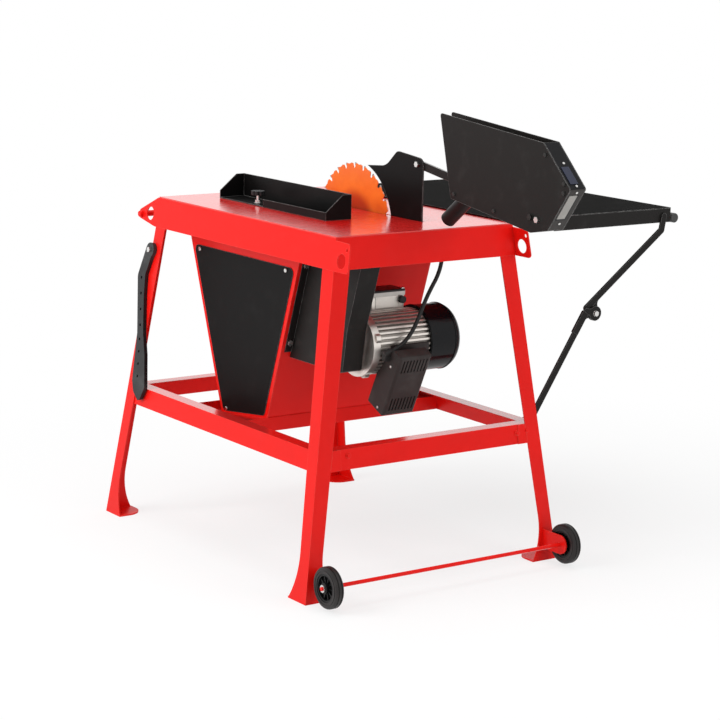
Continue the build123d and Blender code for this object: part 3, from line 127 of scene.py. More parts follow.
# %% The socket class
class Wire:
    """A socket of a material's node tree; Python's operators join it to Math nodes."""

    def __init__(self, tree, socket=None):
        self.tree = tree
        self.socket = socket

    def make(self, kind, settings=None, sockets=None, out=0):
        """Adds a node of this kind and returns one of its outputs, by place or by name."""
        node = self.tree.nodes.new(kind)
        for name, value in (settings or {}).items():
            setattr(node, name, value)
        for name, value in (sockets or {}).items():
            if isinstance(value, Wire):
                self.tree.links.new(value.socket, node.inputs[name])
            else:
                node.inputs[name].default_value = value
        return Wire(self.tree, node.outputs[out])

    def maths(self, operation, first, second=0.0, clamp=False):
        """A Math node on two values, wires or numbers."""
        settings = {"operation": operation, "use_clamp": clamp}
        return self.make("ShaderNodeMath", settings, {0: first, 1: second})

    def __add__(self, other):
        return self.maths("ADD", self, other)

    def __radd__(self, other):
        return self.maths("ADD", other, self)

    def __sub__(self, other):
        return self.maths("SUBTRACT", self, other)

    def __rsub__(self, other):
        return self.maths("SUBTRACT", other, self)

    def __mul__(self, other):
        return self.maths("MULTIPLY", self, other)

    def __rmul__(self, other):
        return self.maths("MULTIPLY", other, self)

    def between(self, low, high):
        """0 below low, 1 above high and a smooth step from one to the other."""
        settings = {"interpolation_type": "SMOOTHSTEP"}
        sockets = {"Value": self, "From Min": low, "From Max": high}
        return self.make("ShaderNodeMapRange", settings, sockets)

    def above(self, level, ease):
        """0 below a level and 1 above it, with a step that is eased on either side."""
        return self.between(level - ease, level + ease)

    def blend(self, first, second):
        """Mixes two colours, with this socket as the share of the second."""
        return self.make("ShaderNodeMix", {"data_type": "RGBA"}, {0: self, 6: first, 7: second}, out=2)


print("shader maths ready")

# %% [markdown]
# ## What every finish starts from
# All finishes read the piece's own coordinates in metres, so grain has its real size and stays with a
# moving part. A Bevel node rounds the edges in the shading, as bent and deburred sheet is rounded; where
# it turns away from the flat normal lies an edge, and that gives the mask for edge wear and for the
# painted light along the edges. A modifier could round the mesh instead, but the frame's pieces are to
# keep their shape.


# %% Starting a finish
def start_finish(name):
    """A new material; returns it, an empty wire of its tree and its Principled shader."""
    material = bpy.data.materials.new(name)
    material.use_nodes = True
    shader = material.node_tree.nodes["Principled BSDF"]
    return material, Wire(material.node_tree), shader


def join(tree, shader, **sockets):
    """Sets or links sockets of the shader; underscores stand for spaces."""
    for name, value in sockets.items():
        socket = shader.inputs[name.replace("_", " ")]
        if isinstance(value, Wire):
            tree.tree.links.new(value.socket, socket)
        else:
            socket.default_value = value


def dress(material, *names):
    """Gives frame pieces their finish."""
    for name in names:
        mesh = nodes[name].data
        mesh.materials.clear()
        mesh.materials.append(material)


def shaded(colour, share):
    """The same colour with less light in it."""
    return tuple(value * share for value in colour[:3]) + (1.0,)


print("finishes can start")


# %% Grain, edges and places
def vector_maths(tree, operation, first, second=(0, 0, 0), out=0):
    """A Vector Math node on two vectors; "Value" is the output of a length or a dot product."""
    return tree.make("ShaderNodeVectorMath", {"operation": operation}, {0: first, 1: second}, out)


def place_on(tree):
    """The place on the piece, in metres."""
    return tree.make("ShaderNodeTexCoord", out="Object")


def place_along(tree, axis):
    """The place on the piece along "X", "Y" or "Z"."""
    return tree.make("ShaderNodeSeparateXYZ", None, {0: place_on(tree)}, out=axis)


def grain(tree, cells, detail=4.0):
    """Noise over the piece, with this many cells to the metre."""
    sockets = {"Vector": place_on(tree), "Scale": cells, "Detail": detail, "Roughness": 0.55}
    return tree.make("ShaderNodeTexNoise", None, sockets)


def rounded_normal(tree, radius):
    """The normal of a piece whose edges are rounded in the shading."""
    return tree.make("ShaderNodeBevel", {"samples": 4}, {"Radius": radius})


def edge_mask(tree, radius, strength):
    """1 along the edges of a piece and 0 on its flats."""
    flat = tree.make("ShaderNodeNewGeometry", out="True Normal")
    alike = vector_maths(tree, "DOT_PRODUCT", rounded_normal(tree, radius), flat, out="Value")
    return tree.maths("MULTIPLY", 1 - alike, strength, clamp=True)


def round_line(tree, point, axis, radius, ease=0.0003):
    """1 within a radius of a line through a point, and 0 outside."""
    arm = vector_maths(tree, "SUBTRACT", place_on(tree), point)
    side = vector_maths(tree, "CROSS_PRODUCT", arm, axis)
    return 1 - vector_maths(tree, "LENGTH", side, out="Value").above(radius, ease)


def glancing(tree):
    """1 on faces seen along their surface and 0 on faces seen squarely."""
    return tree.make("ShaderNodeLayerWeight", None, {"Blend": 0.5}, out="Facing").between(0.5, 0.72)


def surface(tree, height, depth, edge_radius):
    """A normal with rounded edges and a bump of this height field, depth metres deep."""
    sockets = {"Strength": 1.0, "Distance": depth, "Height": height}
    sockets["Normal"] = rounded_normal(tree, edge_radius)
    return tree.make("ShaderNodeBump", None, sockets)


print("finish helpers ready")

# %% [markdown]
# ## Powder coat
# The stand is powder-coated steel. Powder melts into a skin with a faint orange-peel ripple about a
# millimetre across, a soft gloss, and thin spots on sharp edges. Photographs of real coats would do as
# textures, but noise at several scales keeps its size on every piece: it gives the ripple, the patches of
# gloss and a little dust. The edge mask colours the edges with wear and with painted light: a painted
# highlight where the edge colour is lighter, a painted shade line where it is darker.


# %% Powder coat
def powder_coat(name, colour, wear_and_painted_light_colour, roughness, ripple, wear_and_painted_light, dust, specular, coat=0.0, shine=False):
    """A coat with a ripple this deep; shine adds a mirror that shows only along the surface."""
    material, tree, shader = start_finish(name)
    peel = grain(tree, cells=650, detail=2.0)
    cloud = grain(tree, cells=7, detail=5.0)
    chips = 0.35 + 0.65 * grain(tree, cells=60).between(0.3, 0.62)
    # The edge colour is partly wear and partly painted light: lighter edges are a painted highlight, a
    # darker one a painted shade line.
    edge = edge_mask(tree, radius=0.0022, strength=wear_and_painted_light) * chips
    dust_share = grain(tree, cells=22, detail=8.0).between(0.5, 0.8) * dust
    tint = cloud.between(0.35, 0.7).blend(shaded(colour, 0.92), colour)
    dusty = dust_share.blend(tint, (0.5, 0.48, 0.46, 1))
    join(tree, shader, Base_Color=edge.blend(dusty, wear_and_painted_light_colour))
    join(tree, shader, Roughness=roughness + 0.05 * (cloud - 0.5) + 0.06 * peel)
    join(tree, shader, Normal=surface(tree, peel, depth=ripple, edge_radius=0.0009))
    join(tree, shader, Specular_IOR_Level=specular, Coat_Weight=coat, Coat_Roughness=0.16)
    if shine:
        join(tree, shader, Coat_Weight=glancing(tree), Coat_IOR=3.2)
    return material


print("powder coat ready")

# %% [markdown]
# ## Red pieces
# The stand and the hopper are red, with lighter edges that are partly thin coat and partly a painted
# highlight. The stretchers' tops shine only along the surface. The table is rubbed glossy, so it has a
# clear coat over the red and mirrors what stands on it, and a painted shade line darkens its edges.

# %% Red pieces
red = (0.80, 0.008, 0.005, 1)
# The lighter red edge colour is partly thin coat and partly a painted highlight.
red_edge_wear_and_highlight = (0.95, 0.16, 0.12, 1)
# A painted shade line: the table's edges are darkened where the top meets the apron.
table_edge_painted_shade = (0.34, 0.012, 0.010, 1)
red_coat = powder_coat("red_coat", red, red_edge_wear_and_highlight, roughness=0.34, ripple=0.00006, wear_and_painted_light=1.4,
                       dust=0.006, specular=0.17)
rail_coat = powder_coat("rail_coat", red, red_edge_wear_and_highlight, roughness=0.34, ripple=0.00004, wear_and_painted_light=1.4,
                        dust=0.006, specular=0.16, shine=True)
table_coat = powder_coat("table_coat", red, table_edge_painted_shade, roughness=0.24, ripple=0.00003, wear_and_painted_light=1.4,
                         dust=0.010, specular=0.50, coat=0.85)
dress(red_coat, "apron_near", "apron_far", "apron_infeed", "apron_outfeed", "handle_bar", "axle_brackets")
dress(red_coat, "leg_near_infeed", "leg_near_outfeed", "leg_far_infeed", "leg_far_outfeed")
dress(red_coat, "hopper_side_walls", "hopper_end_walls")
dress(rail_coat, "side_stretchers", "end_stretchers", "wheel_axle")
dress(table_coat, "table_top")
print("red coats ready")

# %% [markdown]
# ## Black pieces
# The black pieces have the same coat with a more matt, dustier face and grey edges, partly scuffed and
# partly a painted highlight. The top of the extension is the dullest, the knife and the fence are the
# darkest, and the guard's arm shines along its surface. One function serves them all, since only its
# numbers differ.

# %% Black pieces
soot = (0.0125, 0.0112, 0.0105, 1)
# The grey edge colour of the black pieces is partly scuffing and partly a painted highlight.
soot_edge_wear_and_highlight = (0.26, 0.255, 0.25, 1)
black_coat = powder_coat("black_coat", soot, soot_edge_wear_and_highlight, roughness=0.45, ripple=0.00008, wear_and_painted_light=2.6,
                         dust=0.015, specular=0.14)
cover_coat = powder_coat("cover_coat", (0.0062, 0.006, 0.006, 1), soot_edge_wear_and_highlight, roughness=0.5, ripple=0.00008,
                         wear_and_painted_light=2.6, dust=0.006, specular=0.09)
arm_coat = powder_coat("arm_coat", soot, soot_edge_wear_and_highlight, roughness=0.40, ripple=0.00005, wear_and_painted_light=2.6,
                       dust=0.015, specular=0.14, shine=True)
dull_coat = powder_coat("dull_coat", (0.0062, 0.006, 0.0058, 1), soot_edge_wear_and_highlight, roughness=0.8, ripple=0.0001,
                        wear_and_painted_light=4.5, dust=0.008, specular=0.02)
jet_coat = powder_coat("jet_coat", (0.004, 0.0037, 0.0037, 1), soot_edge_wear_and_highlight, roughness=0.36, ripple=0.00005,
                       wear_and_painted_light=4.0, dust=0.005, specular=0.10)
tube_coat = powder_coat("tube_coat", (0.05, 0.05, 0.05, 1), soot_edge_wear_and_highlight, roughness=0.4, ripple=0.00004,
                        wear_and_painted_light=1.2, dust=0.02, specular=0.30)
dress(black_coat, "drive_housing", "hinge_leaves", "brace_foot", "extension_frame")
dress(black_coat, "guard_near_plate", "guard_far_plate")
dress(cover_coat, "hopper_cover")
dress(arm_coat, "guard_arm")
dress(dull_coat, "extension_top")
dress(tube_coat, "extension_tube")
dress(jet_coat, "riving_knife", "rip_fence")
print("black coats ready")

# %% [markdown]
# ## Metals
# The motor's casing is die-cast aluminium, matt and grainy, with dirt between the fins. Screws are
# zinc-plated, and the arbor and its flanges are turned steel. All of them are the same shader with Metallic
# near 1. What changes is the grain, and the dirt comes from an Ambient Occlusion node, which knows the
# hollows.


# %% Metals
def bare_metal(name, colour, dirt_colour, roughness, cells, depth, dirt):
    """Metal with a grain of this many cells to the metre, and with dirt in its hollows."""
    material, tree, shader = start_finish(name)
    cast = grain(tree, cells, detail=6.0)
    smear = grain(tree, cells=30)
    hollow = tree.make("ShaderNodeAmbientOcclusion", {"samples": 4}, {"Distance": 0.012}, out="AO")
    grime = tree.maths("MULTIPLY", 1 - hollow, dirt, clamp=True)
    tint = smear.between(0.3, 0.75).blend(shaded(colour, 0.88), colour)
    join(tree, shader, Base_Color=grime.blend(tint, dirt_colour))
    join(tree, shader, Metallic=1 - 0.6 * grime)
    join(tree, shader, Roughness=roughness + 0.2 * (smear - 0.5) + 0.25 * grime)
    join(tree, shader, Normal=surface(tree, cast, depth, edge_radius=0.0008))
    return material


cast_metal = bare_metal("cast_metal", (0.88, 0.82, 0.76, 1), (0.14, 0.11, 0.09, 1),
                        roughness=0.34, cells=420, depth=0.00015, dirt=1.0)
zinc_plate = bare_metal("zinc_plate", (0.82, 0.81, 0.79, 1), (0.2, 0.19, 0.18, 1),
                        roughness=0.26, cells=900, depth=0.00003, dirt=0.3)
turned_steel = bare_metal("turned_steel", (0.56, 0.56, 0.57, 1), (0.12, 0.11, 0.1, 1),
                          roughness=0.3, cells=700, depth=0.00004, dirt=0.5)
cast_iron = bare_metal("cast_iron", (0.18, 0.18, 0.185, 1), (0.05, 0.045, 0.04, 1),
                       roughness=0.5, cells=350, depth=0.00025, dirt=0.6)
dress(cast_metal, "motor_body", "motor_shield", "terminal_box")
dress(zinc_plate, "panel_screws", "hex_bolts", "fence_screw", "axle_caps")
dress(turned_steel, "arbor_shaft", "blade_flanges")
dress(cast_iron, "table_blocks", "motor_pulley")
print("metals ready")

# %% [markdown]
# ## Pieces with two finishes
# The guard's side screws are painted over with the plate, but its arm bolt and the screws of its roof are
# bright. The roof itself is grey below its bend and black above it, a painted reflection, and the grey
# panel on it has a painted shadow line along its far side and its foot. On the terminal box a metal lid
# carries a black seal along its top, and the brace's knuckle has a bright bolt. Each piece could be split
# in two; a mask that reads the place on the piece keeps it whole.


# %% Two tones
def two_tone(name, mask, first, second, roughness, metal, specular, wear_and_painted_light=0.0):
    """Blends two colours by a mask made from the tree; metal gives the metalness of each."""
    material, tree, shader = start_finish(name)
    share = mask(tree)
    rubbed = grain(tree, cells=45, detail=5.0)
    tints = [rubbed.between(0.3, 0.8).blend(shaded(colour, 0.85), colour) for colour in (first, second)]
    tint = share.blend(*tints)
    # The grey edges here are partly wear and partly a painted highlight.
    if wear_and_painted_light:
        tint = edge_mask(tree, radius=0.0022, strength=wear_and_painted_light).blend(tint, soot_edge_wear_and_highlight)
    metalness = metal[0]
    if metal[1] != metal[0]:
        metalness = metal[0] + (metal[1] - metal[0]) * share
    join(tree, shader, Base_Color=tint, Metallic=metalness, Specular_IOR_Level=specular)
    join(tree, shader, Roughness=roughness + 0.16 * (rubbed - 0.5))
    fine = grain(tree, cells=800, detail=3.0)
    join(tree, shader, Normal=surface(tree, fine, depth=0.00004, edge_radius=0.0006))
    return material


print("two-toned finish ready")

# %% Masks of the guard, the lid and the knuckle
guard_face_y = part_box("guard_near_plate")[0].y
arm_bolt = (0.5752, 0.0, 0.9134)
arm_bolt_radius = 0.0095
knuckle_bolt = (0.0, 0.3305, 0.597)
knuckle_bolt_radius = 0.0075
roof_bend_z = 0.993
seal_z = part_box("terminal_lid")[1].z - 0.0059
panel_low, panel_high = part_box("guard_panel")
panel_far_shadow_line = panel_high.y - 0.0042
panel_low_shadow_line = panel_low.z + 0.0033


def painted_over(tree):
    outside = 1 - place_along(tree, "Y").above(guard_face_y - 0.0002, ease=0.0002)
    return outside * (1 - round_line(tree, arm_bolt, (0, 1, 0), arm_bolt_radius))


def seal_band(tree):
    return place_along(tree, "Z").above(seal_z, ease=0.0003)


# Painted reflection: the roof is lighter grey below its bend and black above it.
def roof_reflection_split(tree):
    return place_along(tree, "Z").above(roof_bend_z, ease=0.001)


# A painted shadow line along the panel's far side and its foot.
def panel_painted_shadow(tree):
    far_shadow = place_along(tree, "Y").above(panel_far_shadow_line, ease=0.0003)
    low_shadow = 1 - place_along(tree, "Z").above(panel_low_shadow_line, ease=0.0003)
    return tree.maths("MAXIMUM", far_shadow, low_shadow)


def beside_bolt(tree):
    return 1 - round_line(tree, knuckle_bolt, (1, 0, 0), knuckle_bolt_radius)


print("masks for five pieces")

# %% Guard, lid and knuckle
bright_zinc = (0.80, 0.79, 0.77, 1)
# The near-black of the panel's painted shadow line and of the roof's dark half.
painted_shade_black = (0.006, 0.006, 0.007, 1)
guard_fixings = two_tone("guard_fixings", painted_over, bright_zinc, (0.014, 0.013, 0.012, 1),
                         roughness=0.30, metal=(1.0, 0.0), specular=0.3)
# A painted reflection: lighter grey below the roof's bend, black above it.
roof_painted_reflection = two_tone("roof_painted_reflection", roof_reflection_split, (0.050, 0.047, 0.045, 1), painted_shade_black,
                     roughness=0.45, metal=(0.0, 0.0), specular=0.12, wear_and_painted_light=3.0)
# The panel's dark rim is a painted shadow line.
panel_with_painted_shadow = two_tone("panel_with_painted_shadow", panel_painted_shadow, (0.36, 0.35, 0.33, 1), painted_shade_black,
                        roughness=0.42, metal=(0.4, 0.0), specular=0.3)
lid_finish = two_tone("lid_finish", seal_band, (0.50, 0.47, 0.44, 1), (0.012, 0.012, 0.012, 1),
                      roughness=0.36, metal=(1.0, 0.0), specular=0.3)
knuckle_finish = two_tone("knuckle_finish", beside_bolt, bright_zinc, soot,
                          roughness=0.42, metal=(1.0, 0.0), specular=0.14, wear_and_painted_light=2.0)
dress(guard_fixings, "guard_bolts")
dress(roof_painted_reflection, "guard_shell")
dress(panel_with_painted_shadow, "guard_panel")
dress(lid_finish, "terminal_lid")
dress(knuckle_finish, "brace_upper_arm", "brace_lower_arm")
print("two-toned pieces ready")

# %% [markdown]
# ## Plastics and rubber
# Moulded covers have a fine spark-eroded grain, and the fan cover is polished. Rubber is darker and duller,
# with a greyish bloom, and the hubs are the blackest. One function makes them all: grain size, depth and
# roughness tell them apart.


# %% Moulded finish
def moulded(name, colour, bloom_colour, roughness, cells, depth, bloom, specular, coat=0.0):
    """Plastic or rubber with a pebbled grain, and with a pale bloom in patches and along its edges."""
    material, tree, shader = start_finish(name)
    pebble = grain(tree, cells, detail=2.0)
    cloud = grain(tree, cells=18, detail=6.0)
    haze = (cloud.between(0.45, 0.8) + edge_mask(tree, radius=0.001, strength=1.2)) * bloom
    join(tree, shader, Base_Color=haze.blend(colour, bloom_colour))
    join(tree, shader, Roughness=roughness + 0.16 * (cloud - 0.5))
    join(tree, shader, Normal=surface(tree, pebble, depth, edge_radius=0.001))
    join(tree, shader, Specular_IOR_Level=specular, Coat_Weight=coat, Coat_Roughness=0.10)
    return material


print("moulded finish ready")

# %% Plastics and rubber
grained_plastic = moulded("grained_plastic", (0.0135, 0.0120, 0.0118, 1), (0.10, 0.095, 0.09, 1),
                          roughness=0.46, cells=1100, depth=0.00012, bloom=0.25, specular=0.30)
case_plastic = moulded("case_plastic", (0.0225, 0.0165, 0.0155, 1), (0.10, 0.09, 0.085, 1),
                       roughness=0.5, cells=1100, depth=0.00012, bloom=0.25, specular=0.25)
stick_plastic = moulded("stick_plastic", (0.009, 0.009, 0.010, 1), (0.16, 0.16, 0.16, 1),
                        roughness=0.34, cells=1100, depth=0.0001, bloom=0.2, specular=0.30)
pipe_plastic = moulded("pipe_plastic", (0.007, 0.006, 0.006, 1), (0.05, 0.05, 0.05, 1),
                       roughness=0.42, cells=900, depth=0.0001, bloom=0.2, specular=0.20)
polished_cover = moulded("polished_cover", (0.004, 0.004, 0.005, 1), (0.02, 0.02, 0.02, 1),
                         roughness=0.2, cells=500, depth=0.00003, bloom=0.1, specular=0.14, coat=0.08)
window_plastic = moulded("window_plastic", (0.008, 0.012, 0.035, 1), (0.03, 0.04, 0.08, 1),
                         roughness=0.22, cells=400, depth=0.00002, bloom=0.15, specular=0.3, coat=0.2)
cable_rubber = moulded("cable_rubber", (0.014, 0.0135, 0.013, 1), (0.08, 0.08, 0.08, 1),
                       roughness=0.48, cells=900, depth=0.00008, bloom=0.25, specular=0.25)
tyre_rubber = moulded("tyre_rubber", (0.012, 0.0100, 0.0098, 1), (0.08, 0.07, 0.068, 1),
                      roughness=0.4, cells=600, depth=0.0002, bloom=0.35, specular=0.34)
hub_black = moulded("hub_black", (0.004, 0.004, 0.0045, 1), (0.12, 0.12, 0.12, 1),
                    roughness=0.4, cells=1100, depth=0.0001, bloom=0.12, specular=0.22)
dress(grained_plastic, "cable_glands", "junction_box")
dress(case_plastic, "capacitor_box")
dress(stick_plastic, "push_stick", "fence_knob")
dress(pipe_plastic, "guard_spout")
dress(polished_cover, "fan_cover")
dress(window_plastic, "guard_window")
dress(cable_rubber, "drive_belt")
dress(tyre_rubber, "tyre_near", "tyre_far")
dress(hub_black, "hub_near", "hub_far")
cable_curve.materials.append(cable_rubber)
print("plastics and rubber ready")

# %% [markdown]
# ## The blade
# The blade is coated orange, ground bare at the teeth, and darker towards the arbor by a painted shade. It
# could be painted on the mesh, but the coat is a colour by distance from the arbor, so the material reads
# the place on the blade and compares its distance with the blade's radius. Fine rings in the bump are
# grinding marks.


# %% Blade coat
blade_low, blade_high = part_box("saw_blade")
blade_centre = (blade_low + blade_high) / 2
blade_radius = (blade_high.z - blade_low.z) / 2
ground_rim = 0.002


def blade_coat():
    """Orange by distance from the arbor, with a bare rim."""
    material, tree, shader = start_finish("blade_coat")
    arm = vector_maths(tree, "SUBTRACT", place_on(tree), blade_centre)
    flat = vector_maths(tree, "MULTIPLY", arm, (1, 0, 1))
    reach = vector_maths(tree, "LENGTH", flat, out="Value")
    streak = tree.maths("SINE", reach * 9000.0)
    cloud = grain(tree, cells=30, detail=6.0)
    clean = cloud.between(0.3, 0.7).blend((0.90, 0.16, 0.015, 1), (0.95, 0.20, 0.02, 1))
    # Painted shade: the orange darkens towards the arbor.
    arbor_painted_shade = reach.between(0.40 * blade_radius, 0.64 * blade_radius)
    orange = arbor_painted_shade.blend((0.55, 0.055, 0.010, 1), clean)
    ragged = reach + 0.004 * (grain(tree, cells=150) - 0.5)
    worn = ragged.above(blade_radius - ground_rim, ease=0.001)
    join(tree, shader, Base_Color=worn.blend(orange, (0.55, 0.54, 0.52, 1)), Metallic=0.8 * worn)
    join(tree, shader, Roughness=0.36 + 0.1 * cloud)
    join(tree, shader, Normal=surface(tree, streak, depth=0.000004, edge_radius=0.0004))
    return material


dress(blade_coat(), "saw_blade")
print("blade of radius", round(blade_radius, 4))

# %% [markdown]
# ## Fitting small pieces
# The pieces that follow are sheet, bars and fasteners. Primitives would leave them with plain ends and
# sharp edges. Nearly all of them are the space between two rings of points, so one helper joins the rings,
# and another turns the result into a piece that rides on its body, with a bevel that eases its edges.


# %% Fitting small pieces
def fitted_piece(name, shape, body, material, easing):
    """Turns a bmesh into a piece that rides on a body, with its edges eased by this much."""
    mesh = bpy.data.meshes.new(name)
    bmesh.ops.recalc_face_normals(shape, faces=shape.faces)
    shape.to_mesh(mesh)
    shape.free()
    mesh.materials.append(material)
    mesh.shade_smooth()
    mesh.set_sharp_from_angle(angle=math.radians(35))
    piece = add_object(name, mesh)
    eased = piece.modifiers.new("eased_edges", "BEVEL")
    eased.width = easing
    eased.segments = 2
    eased.limit_method = "ANGLE"
    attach(piece, body)


def add_between(shape, first_points, second_points):
    """The closed solid between two rings with the same count of points."""
    first = [shape.verts.new(point) for point in first_points]
    second = [shape.verts.new(point) for point in second_points]
    shape.faces.new(first)
    shape.faces.new(list(reversed(second)))
    for index in range(len(first)):
        after = (index + 1) % len(first)
        shape.faces.new((first[index], second[index], second[after], first[after]))


def add_prism(shape, outline, base, rise):
    """A prism over a ring of (y, z) points, standing on a base along x."""
    add_between(shape, [(base, y, z) for y, z in outline], [(base + rise, y, z) for y, z in outline])


def round_ring(middle, radius, sides):
    """Points round a circle in the plane."""
    turns = [step * math.tau / sides for step in range(sides)]
    return [(middle[0] + radius * math.cos(turn), middle[1] + radius * math.sin(turn)) for turn in turns]


print("fitting helpers ready")

# %% [markdown]
# ## Carbide tips
# Each tooth carries a brazed tip of grey carbide, a little thicker than the plate. The tips could be
# booleans on the blade, but the frame's blade keeps its mesh, so they are small wedges of their own that
# ride with it. Their angles are read from the outermost points of the blade.

# %% Carbide tips
tooth_count = 24
tip_half = Vector((0, 0.0016, 0))
tip_reach = 0.0065
tip_width = 0.0024
tip_taper = 0.8
tip_inset = 0.0002
tip_lead = 0.0001
tip_rake = 0.0003
crown_margin = 0.0004
rim = [vertex.co - blade_centre for vertex in nodes["saw_blade"].data.vertices]
crowns = {round(math.atan2(arm.z, arm.x) * tooth_count / math.tau, 2)
          for arm in rim if math.hypot(arm.x, arm.z) > blade_radius - crown_margin}
tips = bmesh.new()
for crown in sorted(crowns):
    angle = crown * math.tau / tooth_count
    outward = Vector((math.cos(angle), 0, math.sin(angle)))
    forward = Vector((-math.sin(angle), 0, math.cos(angle)))
    top = blade_centre + (blade_radius - tip_inset) * outward + tip_lead * forward
    foot = top - tip_reach * outward - tip_rake * forward
    rings = []
    for place, width in ((foot, tip_width * tip_taper), (top, tip_width)):
        back = place - width * forward
        rings.append([place - tip_half, place + tip_half, back + tip_half, back - tip_half])
    add_between(tips, *rings)
carbide = bare_metal("carbide", (0.50, 0.49, 0.47, 1), (0.2, 0.19, 0.18, 1),
                     roughness=0.34, cells=900, depth=0.00003, dirt=0.2)
fitted_piece("blade_tips", tips, "blade", carbide, easing=0.0002)
print("carbide tips:", len(crowns))

# %% [markdown]
# ## The terminal box's plate
# A pale bare plate is riveted to the face of the terminal box. It is a rounded sheet with four rivets on
# it. A cube with a bevel could pass for it, but its corners are rounder than its edges, so its outline is
# laid point by point.


# %% Bare plate
def rounded_ring(low, high, radius, steps=5):
    """Points round a rectangle with rounded corners, from low (y, z) to high."""
    corners = [(high[0], high[1], -1, -1), (low[0], high[1], 1, -1),
               (low[0], low[1], 1, 1), (high[0], low[1], -1, 1)]
    points = []
    for quarter, (y, z, inward_y, inward_z) in enumerate(corners):
        middle_y = y + inward_y * radius
        middle_z = z + inward_z * radius
        for step in range(steps + 1):
            angle = (quarter + step / steps) * math.pi / 2
            points.append((middle_y + radius * math.cos(angle), middle_z + radius * math.sin(angle)))
    return points


box_low, box_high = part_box("terminal_box")
plate_low = (box_low.y + 0.012, 0.642)
plate_high = (box_high.y - 0.021, 0.672)
plate_corner = 0.003
plate_base = box_high.x + 0.0002
plate_sheet = 0.0008
rivet_inset = 0.005
rivet_radius = 0.0014
rivet_rise = 0.0005
plate = bmesh.new()
add_prism(plate, rounded_ring(plate_low, plate_high, plate_corner), plate_base, plate_sheet)
for y in (plate_low[0] + rivet_inset, plate_high[0] - rivet_inset):
    for z in (plate_low[1] + rivet_inset, plate_high[1] - rivet_inset):
        add_prism(plate, round_ring((y, z), rivet_radius, sides=12), plate_base + plate_sheet, rivet_rise)
plate_metal = bare_metal("plate_metal", (0.86, 0.82, 0.76, 1), (0.5, 0.46, 0.4, 1),
                         roughness=0.5, cells=600, depth=0.00003, dirt=0.2)
fitted_piece("bare_plate", plate, "stand", plate_metal, easing=0.0003)
print("bare plate", [round(high - low, 4) for low, high in zip(plate_low, plate_high)])

# %% [markdown]
# ## Bolts of the outfeed stretcher
# Painted bolts hold the stretcher between the wheels' legs. A head is a hexagon on a round washer, made of
# rings of points. They could be set by hand, but the steel leans, so each bolt is set where a line from
# outside meets it, square to the face it finds.


# %% Stretcher bolts
def face_finder(name):
    """A search tree of a frame piece's faces, which tells where a line meets them."""
    mesh = nodes[name].data
    points = [vertex.co for vertex in mesh.vertices]
    return BVHTree.FromPolygons(points, [face.vertices for face in mesh.polygons])


def add_turned(shape, seat, sides, radius, low, high):
    """A prism with this many sides, from one height to another above its seat."""
    ring = round_ring((0, 0), radius, sides)
    lower = [seat @ Vector((x, y, low)) for x, y in ring]
    upper = [seat @ Vector((x, y, high)) for x, y in ring]
    add_between(shape, lower, upper)


bolt_places = [(-0.4723, 0.3359), (0.0352, 0.3303), (0.0653, 0.3344)]
washer_radius = 0.0078
washer_heights = (0.0002, 0.0014)
head_radius = 0.0056
head_heights = (0.0015, 0.0058)
end_faces = face_finder("end_stretchers")
bolts = bmesh.new()
for y, z in bolt_places:
    place, normal = end_faces.ray_cast(Vector((1, y, z)), Vector((-1, 0, 0)))[:2]
    seat = Matrix.Translation(place) @ normal.to_track_quat("Z", "X").to_matrix().to_4x4()
    add_turned(bolts, seat, 24, washer_radius, *washer_heights)
    add_turned(bolts, seat, 6, head_radius, *head_heights)
fitted_piece("stretcher_bolts", bolts, "stand", rail_coat, easing=0.0004)
print("stretcher bolts:", len(bolt_places))

# %% [markdown]
# ## The tray at the hopper's foot
# Two angle bars cross the stand on either side of the hopper's foot. Between them a floor reaches from
# each stretcher to the slanting lower edge of the hopper and leaves its mouth open. All of it is welded to
# the side stretchers, which lean. A bar cut square would leave a gap, so every corner of its section is
# drawn out until it meets the steel.

# %% Hopper tray
tray_low = 0.3034
tray_high = 0.3390
tray_sheet = 0.0025
tray_gap = 0.0003
rail_places = [(-0.3855, -0.3830, -0.3685), (-0.1465, -0.1490, -0.1570)]
floor_line = [(-0.3825, 0.3101), (-0.1495, 0.3359)]
floor_edges = {-1: -0.4290, 1: -0.0280}
side_faces = face_finder("side_stretchers")
table_middle = sum(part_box("table_top"), Vector()) / 2


def to_steel(section, side):
    """A section of (x, z) points, drawn out along y to where it meets the stretcher on one side."""
    ring = []
    for x, z in section:
        place = side_faces.ray_cast(Vector((x, table_middle.y, z)), Vector((0, side, 0)))[0]
        ring.append((x, place.y - side * tray_gap, z))
    return ring


tray = bmesh.new()
flange_top = tray_low + tray_sheet
for back, front, flange in rail_places:
    foot = [(back, tray_low), (flange, tray_low), (flange, flange_top)]
    section = foot + [(front, flange_top), (front, tray_high), (back, tray_high)]
    add_between(tray, to_steel(section, -1), to_steel(section, 1))
section = [(x, z - tray_sheet) for x, z in floor_line] + list(reversed(floor_line))
for side, edge in floor_edges.items():
    add_between(tray, to_steel(section, side), [(x, edge, z) for x, z in section])
fitted_piece("hopper_tray", tray, "stand", rail_coat, easing=0.0005)
print("tray at the hopper's foot of", len(rail_places), "bars and", len(floor_edges), "floors")

# %% [markdown]
# ## Webs of the brace's knuckle
# Each bar of the brace widens into its knuckle through a web with a hollow edge. A web's edge is an arc
# that touches the bar and the round knuckle. A boolean could cut it out of a block; it is quicker to find
# the arc's centre from the two radii and to lay the outline point by point.

# %% Knuckle webs
knuckle = Vector(knuckle_bolt[1:])
knuckle_radius = 0.019
bar_half = 0.0085
bar_thickness = 0.005
web_hollow = 0.015
web_sink = 0.003
web_inset = 0.0003


